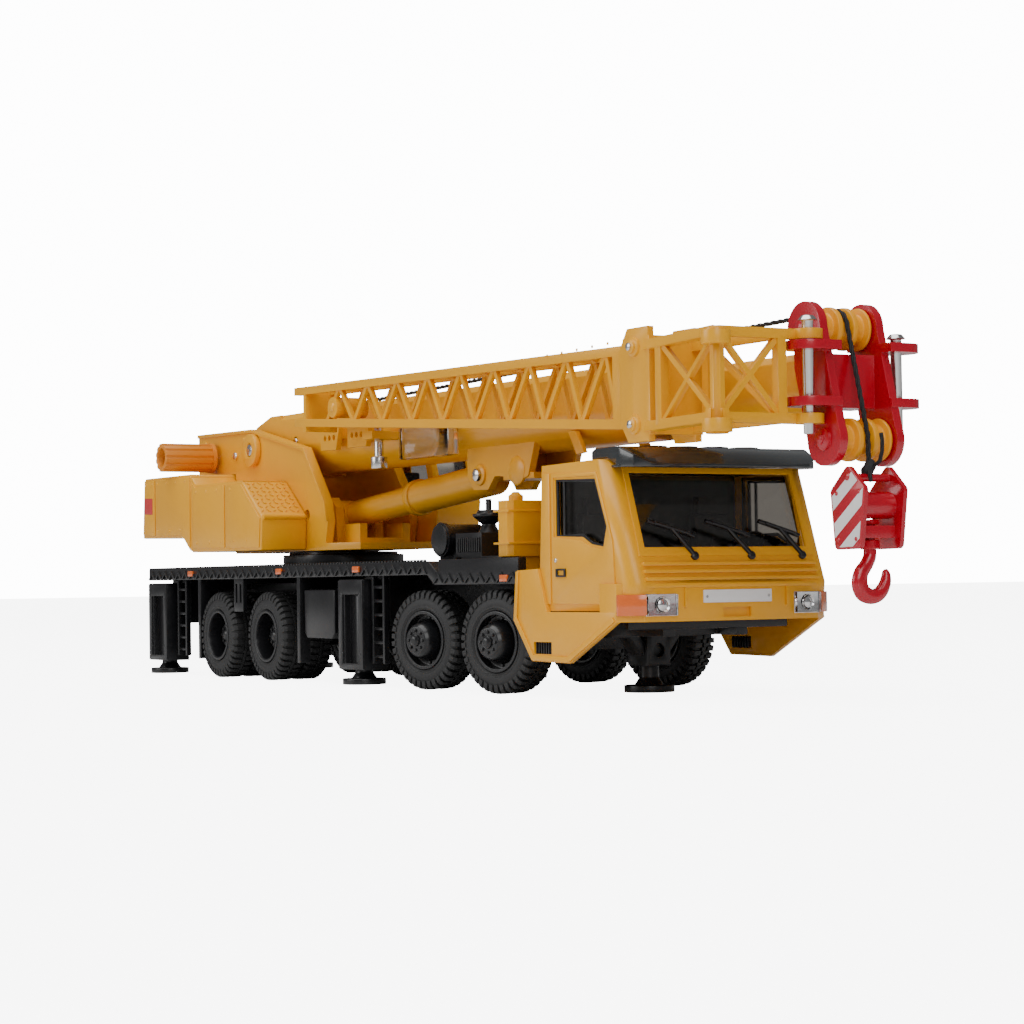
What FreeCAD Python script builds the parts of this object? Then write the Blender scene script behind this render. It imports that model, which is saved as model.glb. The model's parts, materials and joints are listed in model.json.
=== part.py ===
import FreeCAD, Part
import math
import os
import re
from types import SimpleNamespace

import Sketcher
from FreeCAD import Placement, Rotation, Vector

# Four-axle toy crane truck.
# Frame: +X towards the driver's cab, +Y to the truck's left, +Z up.
# Origin: on the ground under the slewing axis. Everything is in millimetres.

SIZES = (
    # chassis and deck
    ("deck_rear", -73.3, "rear edge of the deck"),
    ("deck_step", 95.0, "where the high deck ends"),
    ("deck_front", 136.5, "front edge of the low deck"),
    ("deck_top", 30.3, "top of the high deck"),
    ("deck_under", 27.1, "underside of the high deck"),
    ("low_top", 27.7, "top of the low deck"),
    ("low_under", 24.7, "underside of the low deck"),
    ("deck_half", 26.6, "half width of the deck"),
    ("rail_in", 8.0, "inner face of a chassis rail from the middle"),
    ("rail_wide", 3.0, "width of a chassis rail"),
    ("rail_under", 13.0, "underside of the rails"),
    ("rail_rear", -72.3, "rear end of the rails"),
    ("rail_front", 170.0, "front end of the rails"),
    ("rail_step", 144.0, "where the rails step down under the cab"),
    ("cab_under", 18.7, "underside of the cab"),
    ("ring_radius", 16.4, "radius of the slewing ring"),
    ("spigot_radius", 6.0, "radius of the turntable's spigot"),
    ("ring_high", 3.7, "height of the slewing ring"),
    # outriggers
    ("rear_leg", -65.7, "middle of the rear outriggers"),
    ("mid_leg", 56.6, "middle of the middle outriggers"),
    ("leg_head", 13.2, "length of an outrigger head along the truck"),
    ("leg_wide", 6.6, "width of an outrigger head across the truck"),
    ("leg_out", 26.9, "outer face of an outrigger head"),
    ("leg_low", 4.0, "lower end of an outrigger head"),
    ("leg_high", 26.3, "upper end of an outrigger head"),
    ("beam_wide", 4.8, "width of an outrigger beam"),
    ("beam_high", 8.6, "height of an outrigger beam"),
    ("beam_low", 16.2, "underside of an outrigger beam"),
    ("beam_long", 36.0, "length of an outrigger beam"),
    ("house_wall", 1.2, "wall of the beam housings"),
    ("house_half", 19.6, "half length of the beam housings"),
    ("jack_radius", 2.2, "radius of a jack leg"),
    ("pad_radius", 5.4, "radius of a jack foot"),
    ("pad_lift", 0.3, "gap under a jack foot"),
    ("slip", 0.3, "gap round a sliding piece"),
    # wheels
    ("tyre_radius", 11.76, "radius of a tyre"),
    ("rear_axle_first", -24.1, "rearmost axle"),
    ("rear_axle_second", 6.9, "second axle from the rear"),
    ("pin_second", 90.3, "kingpins of the second steered axle"),
    ("pin_first", 123.8, "kingpins of the first steered axle"),
    ("pin_half", 16.5, "kingpins from the middle"),
    ("stub_reach", 6.6, "kingpin to wheel middle"),
    ("steer_rest", 14.0, "angle the steered wheels stand at, to the left"),
    ("rim_radius", 6.9, "seat of a tyre on its rim"),
    ("axle_radius", 1.5, "radius of the axles and stubs"),
    ("run_gap", 0.06, "radial gap of a running fit"),
    ("front_tyre_wide", 8.0, "width of a steered tyre"),
    ("rear_tyre_wide", 7.0, "width of a tyre of a twin pair"),
    ("rear_outer", 27.0, "outer face of the rear wheels"),
    # driver's cab
    ("cab_half", 26.0, "half width of the cab"),
    ("cab_wall", 1.3, "wall of the cab"),
    ("cab_round", 3.6, "rounding of the cab's front corners"),
    ("glass_wall", 0.6, "thickness of the panes"),
    ("jack_station", 148.1, "front jack"),
    ("socket_radius", 1.5, "hole in the front jack box"),
    # superstructure
    ("plate_y", 13.5, "outer face of the superstructure's side plates"),
    ("plate_wall", 2.2, "thickness of the side plates"),
    ("table_low", 34.3, "underside of the turntable"),
    ("table_high", 36.2, "top of the turntable's floor"),
    ("luff_x", -27.7, "boom pivot"),
    ("luff_z", 63.1, "boom pivot"),
    ("luff_pin", 1.8, "radius of the boom pivot pin"),
    ("winch_x", -54.0, "winch axle"),
    ("winch_z", 62.2, "winch axle"),
    ("drum_radius", 3.6, "radius of the winch drum"),
    ("knob_radius", 4.1, "radius of the winch knob"),
    ("knob_start", 14.6, "inner end of the knob from the middle"),
    ("knob_end", 30.6, "outer end of the knob from the middle"),
    ("weight_half", 27.0, "half width of the counterweight"),
    ("foot_x", 5.3, "foot pin of the lift cylinder"),
    ("foot_z", 43.9, "foot pin of the lift cylinder"),
    ("head_x", 87.0, "head pin of the lift cylinder"),
    ("head_z", 51.1, "head pin of the lift cylinder"),
    ("lift_radius", 4.2, "radius of the lift cylinder's sleeve"),
    ("lift_inner", 3.6, "radius of the lift cylinder's inner tube"),
    ("pin_radius", 1.5, "radius of the lift cylinder's pins"),
    # boom
    ("base_front", 158.0, "front end of the base section"),
    ("mid_front", 172.0, "front end of the second section"),
    ("tip_front", 213.0, "front end of the third section"),
    ("base_half", 10.0, "half width of the base section"),
    ("base_low", 55.5, "underside of the base section"),
    ("base_high", 72.5, "top of the base section"),
    ("shell", 1.1, "wall of the boom sections"),
    ("nest", 1.4, "step from one section to the next"),
    # boom head
    ("sheave_top_x", 216.2, "axle of the upper sheaves"),
    ("sheave_top_z", 74.4, "axle of the upper sheaves"),
    ("sheave_low_x", 222.0, "axle of the lower sheaves"),
    ("sheave_low_z", 52.0, "axle of the lower sheaves"),
    ("sheave_radius", 4.3, "radius of the sheaves"),
    ("sheave_half", 5.7, "half width of a set of sheaves"),
    ("cheek_in", 6.1, "inner face of a cheek plate of the head"),
    ("cheek_wall", 1.9, "thickness of a cheek plate"),
    ("cheek_radius", 5.2, "radius of a cheek plate's lobes"),
    ("lug_x", 221.4, "pins of the boom head"),
    ("lug_y", 11.0, "pins of the boom head from the middle"),
    ("lug_radius", 4.4, "radius of a lug's end"),
    ("head_pin", 1.15, "radius of the head's pins"),
    # jib
    ("jib_far", -33.0, "free lug of the jib"),
    ("hinge_x", 186.0, "joint between the jib's two frames"),
    ("jib_in", -17.5, "inner side of the jib"),
    ("jib_out", -26.5, "outer side of the jib"),
    ("chord", 2.0, "chords of the jib"),
    ("web", 1.1, "web bars of the jib"),
    # hook
    ("rope_radius", 0.5, "radius of the rope"),
    ("rope_sunk", 0.6, "depth of the rope's middle below a sheave's rim"),
    ("groove_deep", 1.3, "depth of a sheave's grooves"),
    ("hook_z", 46.3, "knot on the hook block"),
)

UP = Vector(0, 0, 1)
ALONG = Vector(1, 0, 0)
LEFT = Vector(0, 1, 0)
SIDES = (("left", 1), ("right", -1))

doc = FreeCAD.newDocument("CraneTruck")
sheet = doc.addObject("Spreadsheet::Sheet", "Sizes")
D = SimpleNamespace(**{name: number for name, number, _ in SIZES})
WORDS = {name for name, _, _ in SIZES}
nodes = []


def fill_sheet():
    """Write each driving dimension with its alias and its meaning."""
    for row, (name, number, meaning) in enumerate(SIZES, start=1):
        sheet.set(f"A{row}", meaning)
        sheet.set(f"B{row}", str(number))
        sheet.setAlias(f"B{row}", name)
    doc.recompute()


def linked(text):
    """An expression on sheet words, as FreeCAD reads it."""
    def name(found):
        word = found.group(0)
        return "Sizes." + word if word in WORDS else word
    return re.sub(r"[a-z][a-z_]*", name, str(text))


def bind(thing, prop, text):
    thing.setExpression(prop, linked(text))


def put(thing, at, turn=None):
    """Place a thing: its position is bound to the sheet, its turn is fixed."""
    if turn is not None:
        thing.Placement = Placement(Vector(), turn)
    for axis, text in zip("xyz", at):
        bind(thing, f"Placement.Base.{axis}", text)
    return thing


def node(label, thing):
    """Name a finished sub-part and list it for export."""
    thing.Label = label
    nodes.append(thing)
    return thing


def block(size, corner):
    """A box from three sizes and its lowest corner."""
    made = doc.addObject("Part::Box", "Block")
    for prop, text in zip(("Length", "Width", "Height"), size):
        bind(made, prop, text)
    return put(made, corner)


def bar(radius, length, start, way=UP):
    """A round bar from its start along a direction."""
    made = doc.addObject("Part::Cylinder", "Bar")
    bind(made, "Radius", radius)
    bind(made, "Height", length)
    return put(made, start, Rotation(UP, way))


def cone(low, high, length, start, way=UP):
    made = doc.addObject("Part::Cone", "Cone")
    bind(made, "Radius1", low)
    bind(made, "Radius2", high)
    bind(made, "Height", length)
    return put(made, start, Rotation(UP, way))


def joined(*pieces):
    made = doc.addObject("Part::MultiFuse", "Joined")
    made.Shapes = list(pieces)
    made.Refine = True
    return made


def group(*pieces):
    """Several separate solids that share one node."""
    made = doc.addObject("Part::Compound", "Group")
    made.Links = list(pieces)
    return made


def less(base, *tools):
    made = doc.addObject("Part::Cut", "Less")
    made.Base = base
    made.Tool = tools[0] if len(tools) == 1 else joined(*tools)
    return made


def plane_of(body, role):
    return [f for f in body.Origin.OriginFeatures if f.Role == role][0]


def sketch_on(body, role, loops):
    """Closed outlines of straight lines; each corner's two distances are bound to the sheet."""
    sketch = body.newObject("Sketcher::SketchObject", "Outline")
    sketch.AttachmentSupport = [(plane_of(body, role), "")]
    sketch.MapMode = "FlatFace"
    for loop in loops:
        first = sketch.GeometryCount
        count = len(loop)
        angles = [2 * math.pi * i / count for i in range(count)]
        starts = [Vector(math.cos(angle), math.sin(angle), 0) for angle in angles]
        for i in range(count):
            sketch.addGeometry(Part.LineSegment(starts[i], starts[(i + 1) % count]), False)
        for i in range(count):
            sketch.addConstraint(Sketcher.Constraint("Coincident", first + i, 2, first + (i + 1) % count, 1))
        for i, corner in enumerate(loop):
            for kind, text in zip(("DistanceX", "DistanceY"), corner):
                index = sketch.addConstraint(Sketcher.Constraint(kind, -1, 1, first + i, 1, 1.0))
                bind(sketch, f"Constraints[{index}]", text)
    return sketch


def prism(role, loops, depth, at=(0, 0, 0), middle=False, round_edges=None, radius=None):
    """A padded outline. round_edges picks the edges of the pad to round."""
    body = doc.addObject("PartDesign::Body", "Body")
    outlines = loops if isinstance(loops[0][0], (tuple, list)) else [loops]
    sketch = sketch_on(body, role, outlines)
    pad = body.newObject("PartDesign::Pad", "Pad")
    pad.Profile = sketch
    pad.SideType = "Symmetric" if middle else "One side"
    bind(pad, "Length", depth)
    put(body, at)
    if round_edges:
        doc.recompute()
        names = [f"Edge{i + 1}" for i, edge in enumerate(pad.Shape.Edges) if round_edges(edge)]
        fillet = body.newObject("PartDesign::Fillet", "Fillet")
        fillet.Base = (pad, names)
        bind(fillet, "Radius", radius)
    return body


def turned(role, outline, axis, at=(0, 0, 0), turn=None):
    """A solid of revolution of an outline about a sketch axis."""
    body = doc.addObject("PartDesign::Body", "Turned")
    sketch = sketch_on(body, role, [outline])
    spin = body.newObject("PartDesign::Revolution", "Revolution")
    spin.Profile = sketch
    spin.ReferenceAxis = (sketch, [axis])
    spin.Angle = 360
    return put(body, at, turn)


def runs_along(way):
    """A test for straight edges along a direction, for rounding."""
    def test(edge):
        ends = [v.Point for v in edge.Vertexes]
        if len(ends) != 2:
            return False
        span = ends[1] - ends[0]
        return span.Length > 0 and abs(abs(span.normalize().dot(way)) - 1) < 1e-6
    return test


# ---------------------------------------------------------------- chassis

def chassis():
    """Rails, cross members, beam housings, axle tubes, kingpin beams and the front jack box."""
    solid = []
    holes = []
    rail = [("rail_rear", "rail_under"), ("rail_front", "rail_under"), ("rail_front", "cab_under"),
            ("rail_step", "cab_under"), ("rail_step", "low_under"), ("deck_step + 3.5", "low_under"),
            ("deck_step", "deck_under"), ("rail_rear", "deck_under")]
    for _, side in SIDES:
        face = "rail_in + rail_wide" if side > 0 else "-rail_in"
        solid.append(prism("XZ_Plane", rail, "rail_wide", (0, face, 0)))
    for station in ("rear_leg", "mid_leg"):
        solid.append(block(("leg_head", "2 * house_half", "beam_high + 2 * slip + 2 * house_wall"),
                           (f"{station} - leg_head / 2", "-house_half", "beam_low - slip - house_wall")))
        solid.append(block(("leg_head", "2 * house_half", "deck_under - beam_low - beam_high - slip"),
                           (f"{station} - leg_head / 2", "-house_half", "beam_low + beam_high + slip")))
        holes.append(block(("leg_head - 2 * house_wall", "2 * house_half + 2", "beam_high + 2 * slip"),
                           (f"{station} - leg_head / 2 + house_wall", "-house_half - 1", "beam_low - slip")))
    for station in (-50, -9, 28, 42, 74, 107, 136):
        solid.append(block((3, "2 * rail_in", 6), (station, "-rail_in", 18)))
    solid.append(block((3, "2 * rail_in", "cab_under - rail_under"), (160, "-rail_in", "rail_under")))
    for axle in ("rear_axle_first", "rear_axle_second"):
        solid.append(bar(3, 23.4, (axle, -11.7, "tyre_radius"), LEFT))
        holes.append(bar("axle_radius + run_gap", 30, (axle, -15, "tyre_radius"), LEFT))
    for pins in ("pin_second", "pin_first"):
        solid.append(block((4.4, "2 * pin_half - 3", 5), (f"{pins} - 2.2", "-pin_half + 1.5", 9.3)))
        solid.append(block((4.4, 16, 3), (f"{pins} - 2.2", -8, 13.5)))
        for _, side in SIDES:
            solid.append(bar(2.3, 4.6, (pins, f"{side} * pin_half", 9.5)))
            holes.append(bar("1.2 + run_gap", 8, (pins, f"{side} * pin_half", 8)))
    # posts and slotted hangers along the skirt, and the front jack box on its V of struts
    for _, side in SIDES:
        for station in (-37.9, 25.3):
            low = "deck_half - 3" if side > 0 else "-deck_half"
            solid.append(block((1.6, 3, 22.1), (station, low, 5)))
            solid.append(block((1.6, 14, 3), (station, 10.5 if side > 0 else -24.5, 24.1)))
        low = "deck_half - 1.2" if side > 0 else "-deck_half"
        solid.append(block((5.8, 1.2, 8.9), (-13.7, low, 18.2)))
        solid.append(block((5.8, 15, 1.4), (-13.7, 10.5 if side > 0 else -25.5, 25.7)))
        for slot in (-12.8, -10.2):
            holes.append(block((1.2, 6, 5.2), (slot, 22 if side > 0 else -28, 20.6)))
        leg = [(2.5, 11), (5.5, 14.5), (11, 14.5), (11, 12.5), (6.5, 12.5), (3.5, 8.5), (2.5, 8.5)]
        solid.append(prism("YZ_Plane", [(side * y, z) for y, z in leg], 5, ("jack_station - 2.5", 0, 0)))
    solid.append(block((8, 6, 8), ("jack_station - 4", -3, 6.2)))
    solid.append(block((6, 16, 2), ("jack_station - 3", -8, 14)))
    holes.append(bar("jack_radius + 0.08", 12, ("jack_station", 0, 0)))
    holes.append(bar("socket_radius", 4, ("jack_station + 2.6", 0, 9.6), ALONG))
    return node("chassis_frame", less(joined(*solid), *holes))


def deck():
    """The long tread deck, high at the back and low beside the engine."""
    side = [("deck_rear", "deck_under"), ("deck_step", "deck_under"), ("deck_step + 3.5", "low_under"),
            ("deck_front", "low_under"), ("deck_front", "low_top"), ("deck_step + 4.6", "low_top"),
            ("deck_step + 0.6", "deck_top"), ("deck_rear", "deck_top")]
    slab = prism("XZ_Plane", side, "2 * deck_half", middle=True)
    panels = []
    for _, way in SIDES:
        low = "deck_half - 2.2" if way > 0 else "-deck_half"
        panels.append(block(("deck_front - deck_step - 5.5", 2.2, 2.9), ("deck_step + 5.5", low, "low_top")))
    return node("deck", joined(slab, *panels))


def slew_ring():
    """Fixed ring under the turntable, bored for its spigot."""
    ring = bar("ring_radius", "ring_high - 0.7", (0, 0, "deck_top"))
    lip = bar("ring_radius - 1.6", "ring_high", (0, 0, "deck_top"))
    bore = bar("spigot_radius + run_gap", 6, (0, 0, "deck_top - 1"))
    return node("slew_ring", less(joined(ring, lip), bore))


def engine_group():
    """Engine cover, air filter drum and intake cap, one black moulding."""
    cover = block((12, 14, 5.6), (97.4, -20, 31.1))
    tray = block((18.4, 40, 3.5), (99.9, -20, "low_top"))
    saddle = block((8, 9, 3), (86, -18, "deck_top"))
    drum = bar(3.7, 11, (89.9, -20.4, 35.4), LEFT)
    flange = bar(4.1, 1, (89.9, -19.9, 35.4), LEFT)
    neck = bar(1.1, 8, (90, -14, 35.4), ALONG)
    stem = cone(2.6, 1.6, 2.2, (103, -14.2, 36.6))
    cap = cone(1.6, 3.8, 2, (103, -14.2, 38.7))
    rim = bar(3.8, 0.6, (103, -14.2, 40.6))
    crown = cone(3.1, 2.6, 1, (103, -14.2, 41.1))
    pipe = bar(0.7, 2.8, (103, -14.2, 41.9))
    return node("engine_group", joined(cover, tray, saddle, drum, flange, neck, stem, cap, rim, crown, pipe))


def coolant_tank():
    """Tall tank behind the cab with two filler caps."""
    plan = [(121.4, -21.6), (122.8, -23.4), (126.6, -23.4), (127.6, -22.2), (127.6, -4), (121.4, -4)]
    tank = prism("XY_Plane", plan, 12.6, (0, 0, "low_top + 3.2"), round_edges=runs_along(UP), radius=0.5)
    caps = [bar(1.2, 1.6, (124.4, y, "low_top + 15.7")) for y in (-19.6, -8.6)]
    tips = [cone(1.2, 0.7, 0.6, (124.4, y, "low_top + 17.2")) for y in (-19.6, -8.6)]
    foot = block((5, 16, 3.4), (122, -20.4, "low_top"))
    return node("coolant_tank", joined(tank, foot, *caps, *tips))


def side_boxes():
    """Fuel tank and battery box between the second axle and the middle outriggers."""
    made = []
    for _, side in SIDES:
        low = 17 if side > 0 else -26
        outline = [(28.5, 13), (30, 11.5), (44, 11.5), (45.5, 13), (45.5, 23.8), (28.5, 23.8)]
        made.append(prism("XZ_Plane", outline, 9, (0, low + 9, 0)))
        made.append(block((8, 6.1, 3), (33, 11.0 if side > 0 else -17.1, 19)))
    return node("side_boxes", joined(*made))


# ---------------------------------------------------------------- driver's cab

CAB = [(144.9, 18.6), (179.9, 18.6), (180.6, 24.4), (178.2, 31.0),
       (171.8, 49.2), (168.5, 50.6), (146.2, 50.2), (144.9, 28.0)]
CAB_INSIDE = [(146.4, 20.2), (177.9, 20.2), (179.0, 24.6), (176.7, 30.7),
              (170.6, 48.0), (168.2, 49.2), (147.6, 48.9), (146.4, 28.0)]


def front_edges(edge):
    """The slanted front corners of the cab, at its sides."""
    ends = [v.Point for v in edge.Vertexes]
    if len(ends) != 2:
        return False
    level = abs(ends[0].y - ends[1].y) < 1e-6
    at_side = abs(abs(ends[0].y) - D.cab_half) < 1e-3
    return level and at_side and min(ends[0].x, ends[1].x) > 171 and abs(ends[0].z - ends[1].z) > 1


def cab_block():
    """The cab's outer form, solid."""
    return prism("XZ_Plane", CAB, "2 * cab_half", middle=True, round_edges=front_edges, radius="cab_round")


def cab_shell():
    """Hollow cab with a windscreen, side windows and a back window."""
    outer = cab_block()
    inner = prism("XZ_Plane", CAB_INSIDE, "2 * cab_half - 2 * cab_wall", middle=True)
    screen_cut = [(168.0, 47.9), (174.0, 47.9), (184.0, 31.9), (172.0, 31.9)]
    screen = prism("XZ_Plane", screen_cut, 41.8, middle=True)
    window = prism("XZ_Plane", [(151.7, 47.0), (167.3, 46.6), (171.6, 36.4), (170.3, 32.2), (165.8, 32.8),
                                (162.3, 34.4), (151.7, 34.8)], "2 * cab_half + 4", middle=True)
    back = block((6, 34, 14), (142, -17, 33))
    front_step = block((50, 60, "cab_under - 10"), (140, -30, 10))
    return node("cab_shell", less(outer, inner, screen, window, back, front_step))


def cab_glass():
    """Windscreen, two side panes and the back pane, set just inside the openings."""
    front_pane = [(175.9, 31.3), (176.45, 31.3), (170.45, 47.9), (169.9, 47.9)]
    back_pane = [(146.7, 32.3), (147.2, 32.3), (148.1, 47.7), (147.6, 47.7)]
    panes = [prism("XZ_Plane", front_pane, 44, middle=True)]
    for _, side in SIDES:
        edge = "cab_half - cab_wall" if side > 0 else "-cab_half + cab_wall + glass_wall"
        outline = [(150.8, 47.8), (168.0, 47.4), (172.0, 37.0), (171.6, 31.4), (150.8, 31.4)]
        panes.append(prism("XZ_Plane", outline, "glass_wall", (0, edge, 0)))
    panes.append(prism("XZ_Plane", back_pane, 36, middle=True))
    return node("cab_glass", group(*panes))


def cab_interior():
    """Floor, engine hump, dashboard, two seats, steering wheel and column, one dark moulding."""
    parts = [block((28.6, 48, 1.4), (146.7, -24, 20.3))]
    dash = [(170.6, 21.5), (176.6, 21.5), (176.2, 29.6), (173.4, 31.4), (169.8, 30.2)]
    parts.append(prism("XZ_Plane", dash, 41, middle=True))
    parts.append(block((16, 10, 5), (152, -5, 21.5)))
    for y in (-14.5, 14.5):
        parts.append(block((8.6, 9.4, 6.2), (153.2, y - 4.7, 21.5)))
        back = [(150.6, 27.4), (154.0, 27.4), (151.9, 39.6), (149.6, 39.6)]
        parts.append(prism("XZ_Plane", back, 9, (0, y + 4.5, 0), round_edges=runs_along(LEFT), radius=0.8))
        parts.append(block((2, 5, 4), (148.9, y - 2.5, 39.4)))
        parts.append(block((2.6, 2, 7), (151.4, y - 1, 27)))
    lean = Vector(-0.62, 0, 0.78)
    parts.append(bar(0.7, 8, (170.6, 14.5, 26.4), lean))
    ring = doc.addObject("Part::Torus", "WheelRim")
    bind(ring, "Radius1", 3.6)
    bind(ring, "Radius2", 0.5)
    put(ring, (165.6, 14.5, 32.6), Rotation(UP, lean))
    parts.append(ring)
    parts.append(bar(3.4, 0.5, (165.6, 14.5, 32.6), lean))
    return node("cab_interior", joined(*parts))


def visor():
    """Sun visor round the roof's front: a thick brow over a thin lip, rounded in plan."""
    profile = [(161.5, 50.75), (168.6, 50.85), (172.4, 49.5), (173.0, 48.7), (180.6, 48.5), (181.2, 49.1),
               (178.0, 51.4), (174.0, 53.1), (163.5, 53.3), (161.5, 52.6)]
    brow = prism("XZ_Plane", profile, 49, middle=True)
    half_plan = [(160, -22.8), (174.5, -24.5), (178.4, -23.4), (180.6, -20.6), (181.4, -12)]
    plan = half_plan + [(x, -y) for x, y in reversed(half_plan)]
    shared = doc.addObject("Part::Common", "Shared")
    shared.Base = brow
    shared.Tool = prism("XY_Plane", plan, 10, (0, 0, 46))
    return node("visor", shared)


def bumper():
    """Front bumper, with the skirts that flare back beside the first axle."""
    half_plan = [(170.0, -27.0), (176.3, -27.0), (180.2, -22.4), (181.6, -10)]
    plan = half_plan + [(x, -y) for x, y in reversed(half_plan)]
    nose = prism("XY_Plane", plan, 8.0, (0, 0, 16.4))
    scoop = block((9.5, 50.8, 12), (166, -25.4, 14))
    back = block((6.3, 42, 12), (172, -21, 14))
    slot = block((2, 7.2, 2), (180.6, -3.6, 17.2))
    parts = [less(nose, scoop, back, slot)]
    for _, side in SIDES:
        outline = [(136.9, 27.6), (145.5, 27.9), (149.0, 18.5), (180.0, 18.5), (176.3, 16.4), (158.0, 7.6),
                   (143.0, 7.8), (135.6, 16.7)]
        skin = prism("XZ_Plane", outline, 1.1, (0, 27.1 if side > 0 else -26.0, 0))
        step = prism("XZ_Plane", [(143.6, 12.0), (150.9, 12.0), (150.9, 9.4), (143.6, 9.4)], 4,
                     (0, 28.5 if side > 0 else -24.5, 0))
        trim = block((10, 4, 6), (176.3, 25 if side > 0 else -29, 15))
        parts.append(less(skin, step, trim))
    return node("bumper", less(joined(*parts), cab_block()))


def lamps():
    """Headlamps with their turn lamps, and the side markers."""
    made = []
    for _, side in SIDES:
        lens = [(181.05, 15.2), (182.0, 15.2), (181.3, 22.6), (177.1, 27.4), (176.4, 27.05), (180.25, 22.45)]
        made.append(less(prism("XY_Plane", [(x, side * y) for x, y in lens], 4.4, (0, 0, 17.7)), cab_block()))
        for station, level in ((-42.4, 29.2), (15.2, 29.2), (59.2, 29.2), (130.8, 26.3)):
            face = "deck_half" if side > 0 else "-deck_half - 0.6"
            made.append(block((3.4, 0.6, 1.6), (station - 1.7, face, level - 1.2)))
    return node("lamps", group(*made))


# ---------------------------------------------------------------- running gear

def tyre(label, wide, at, turn=None):
    """Tyre with rounded shoulders, turned about its axle."""
    half = f"{wide} / 2"
    outline = [(f"-{half}", "rim_radius"), (half, "rim_radius"), (half, "tyre_radius - 2.2"),
               (f"{half} - 0.9", "tyre_radius - 0.25"), (f"{half} - 2.6", "tyre_radius"),
               (f"2.6 - {half}", "tyre_radius"), (f"0.9 - {half}", "tyre_radius - 0.25"),
               (f"-{half}", "tyre_radius - 2.2")]
    return turned("XY_Plane", outline, "H_Axis", at, turn)


def rear_axle(label, axle):
    """Steel axle with its rims pressed on, and twin tyres at each end."""
    rims = [bar("axle_radius", 48, (axle, -24, "tyre_radius"), LEFT)]
    tyres = []
    for _, side in SIDES:
        facing = Rotation(ALONG, Vector(0, side, 0))
        outline = [(12.5, 6.0), (12.5, "rim_radius"), ("rear_outer", "rim_radius"), ("rear_outer", 6.1),
                   (22.3, 5.7), (21.4, 4.2), (24.2, 3.2), (24.2, "axle_radius"), (17.5, "axle_radius"),
                   (17.5, 3), (20.2, 3.4), (20.2, 6.0)]
        rims.append(turned("XY_Plane", outline, "H_Axis", (axle, 0, "tyre_radius"), facing))
        for middle in ("rear_outer - rear_tyre_wide / 2", "rear_outer - 1.5 * rear_tyre_wide - 0.4"):
            centre = (axle, f"{side} * ({middle})", "tyre_radius")
            tyres.append(tyre("twin", "rear_tyre_wide", centre, facing))
    node(f"wheelset_{label}", group(*rims))
    node(f"tyres_{label}", group(*tyres))


def steered_wheel(label, pins, side):
    """Knuckle, rim and tyre on one kingpin, standing at the rest angle."""
    angle = math.radians(D.steer_rest)
    out = Vector(-side * math.sin(angle), side * math.cos(angle), 0)
    facing = Rotation(ALONG, out)
    here = (pins, f"{side} * pin_half", "tyre_radius")
    pin = bar(1.2, 8.0, (pins, f"{side} * pin_half", 7.8))
    arms = []
    for level in (7.4, 14.4):
        arms.append(put(block((4.2, 3, 1.4), (0, 0, 0)), (pins, f"{side} * pin_half", level), facing))
        shift = facing.multVec(Vector(0, -1.5, 0))
        bind(arms[-1], "Placement.Base.x", f"{pins} + {shift.x:.6f}")
        bind(arms[-1], "Placement.Base.y", f"{side} * pin_half + {shift.y:.6f}")
    plate = put(block((1, 3, 8.4), (0, 0, 0)), here, facing)
    shift = facing.multVec(Vector(3.3, -1.5, 0))
    bind(plate, "Placement.Base.x", f"{pins} + {shift.x:.6f}")
    bind(plate, "Placement.Base.y", f"{side} * pin_half + {shift.y:.6f}")
    bind(plate, "Placement.Base.z", 7.4)
    start = (f"{pins} + {3.4 * out.x:.6f}", f"{side} * pin_half + {3.4 * out.y:.6f}", "tyre_radius")
    stub = bar("axle_radius", "stub_reach - 3.4 + 2.6", start, out)
    node(f"knuckle_{label}", joined(pin, *arms, plate, stub))
    bore = "axle_radius + run_gap"
    outline = [(-1.0, bore), (3.0, bore), (3.0, 0), (6.3, 0), (6.3, 3.2), (5.4, 3.9), (1.6, 4.9),
               (1.6, 6.0), (3.9, 6.1), (3.9, "rim_radius"), (-3.9, "rim_radius"), (-3.9, 6.1),
               (0.2, 6.0), (0.2, 3.0), (-1.0, 3.0)]
    across = f"{side} * pin_half + {out.y:.6f} * stub_reach"
    middle = (f"{pins} + {out.x:.6f} * stub_reach", across, "tyre_radius")
    node(f"rim_{label}", turned("XY_Plane", outline, "H_Axis", middle, facing))
    node(f"tyre_{label}", tyre(label, "front_tyre_wide", middle, facing))


def outrigger(label, station, side):
    """Sliding beam with its open head, and the jack leg in the head."""
    lane = f"{station} - leg_head / 2 + house_wall + slip" if side > 0 else f"{station} + slip"
    low = "leg_out - leg_wide - beam_long" if side > 0 else "-leg_out + leg_wide"
    arm = block(("beam_wide", "beam_long", "beam_high"), (lane, low, "beam_low"))
    outer = "leg_out - leg_wide" if side > 0 else "-leg_out"
    corner = (f"{station} - leg_head / 2", outer, "leg_low")
    head = block(("leg_head", "leg_wide", "leg_high - leg_low"), corner)
    near_side = "leg_out - 1.6" if side > 0 else "-leg_out - 0.4"
    window = block((7.2, 2, 17.5), (f"{station} - 3.6", near_side, "leg_low + 1.4"))
    bore = bar("jack_radius + 0.08", 30, (station, f"{side} * (leg_out - 3.4)", 0))
    node(f"beam_{label}", less(joined(arm, head), window, bore))
    here = (station, f"{side} * (leg_out - 3.4)")
    leg = bar("jack_radius", "leg_high - 3", (*here, "pad_lift + 1"))
    foot = bar("pad_radius", 1.5, (*here, "pad_lift"))
    ankle = cone("jack_radius + 1.1", "jack_radius", 1.6, (*here, "pad_lift + 1.4"))
    node(f"jack_{label}", joined(leg, foot, ankle))


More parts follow.
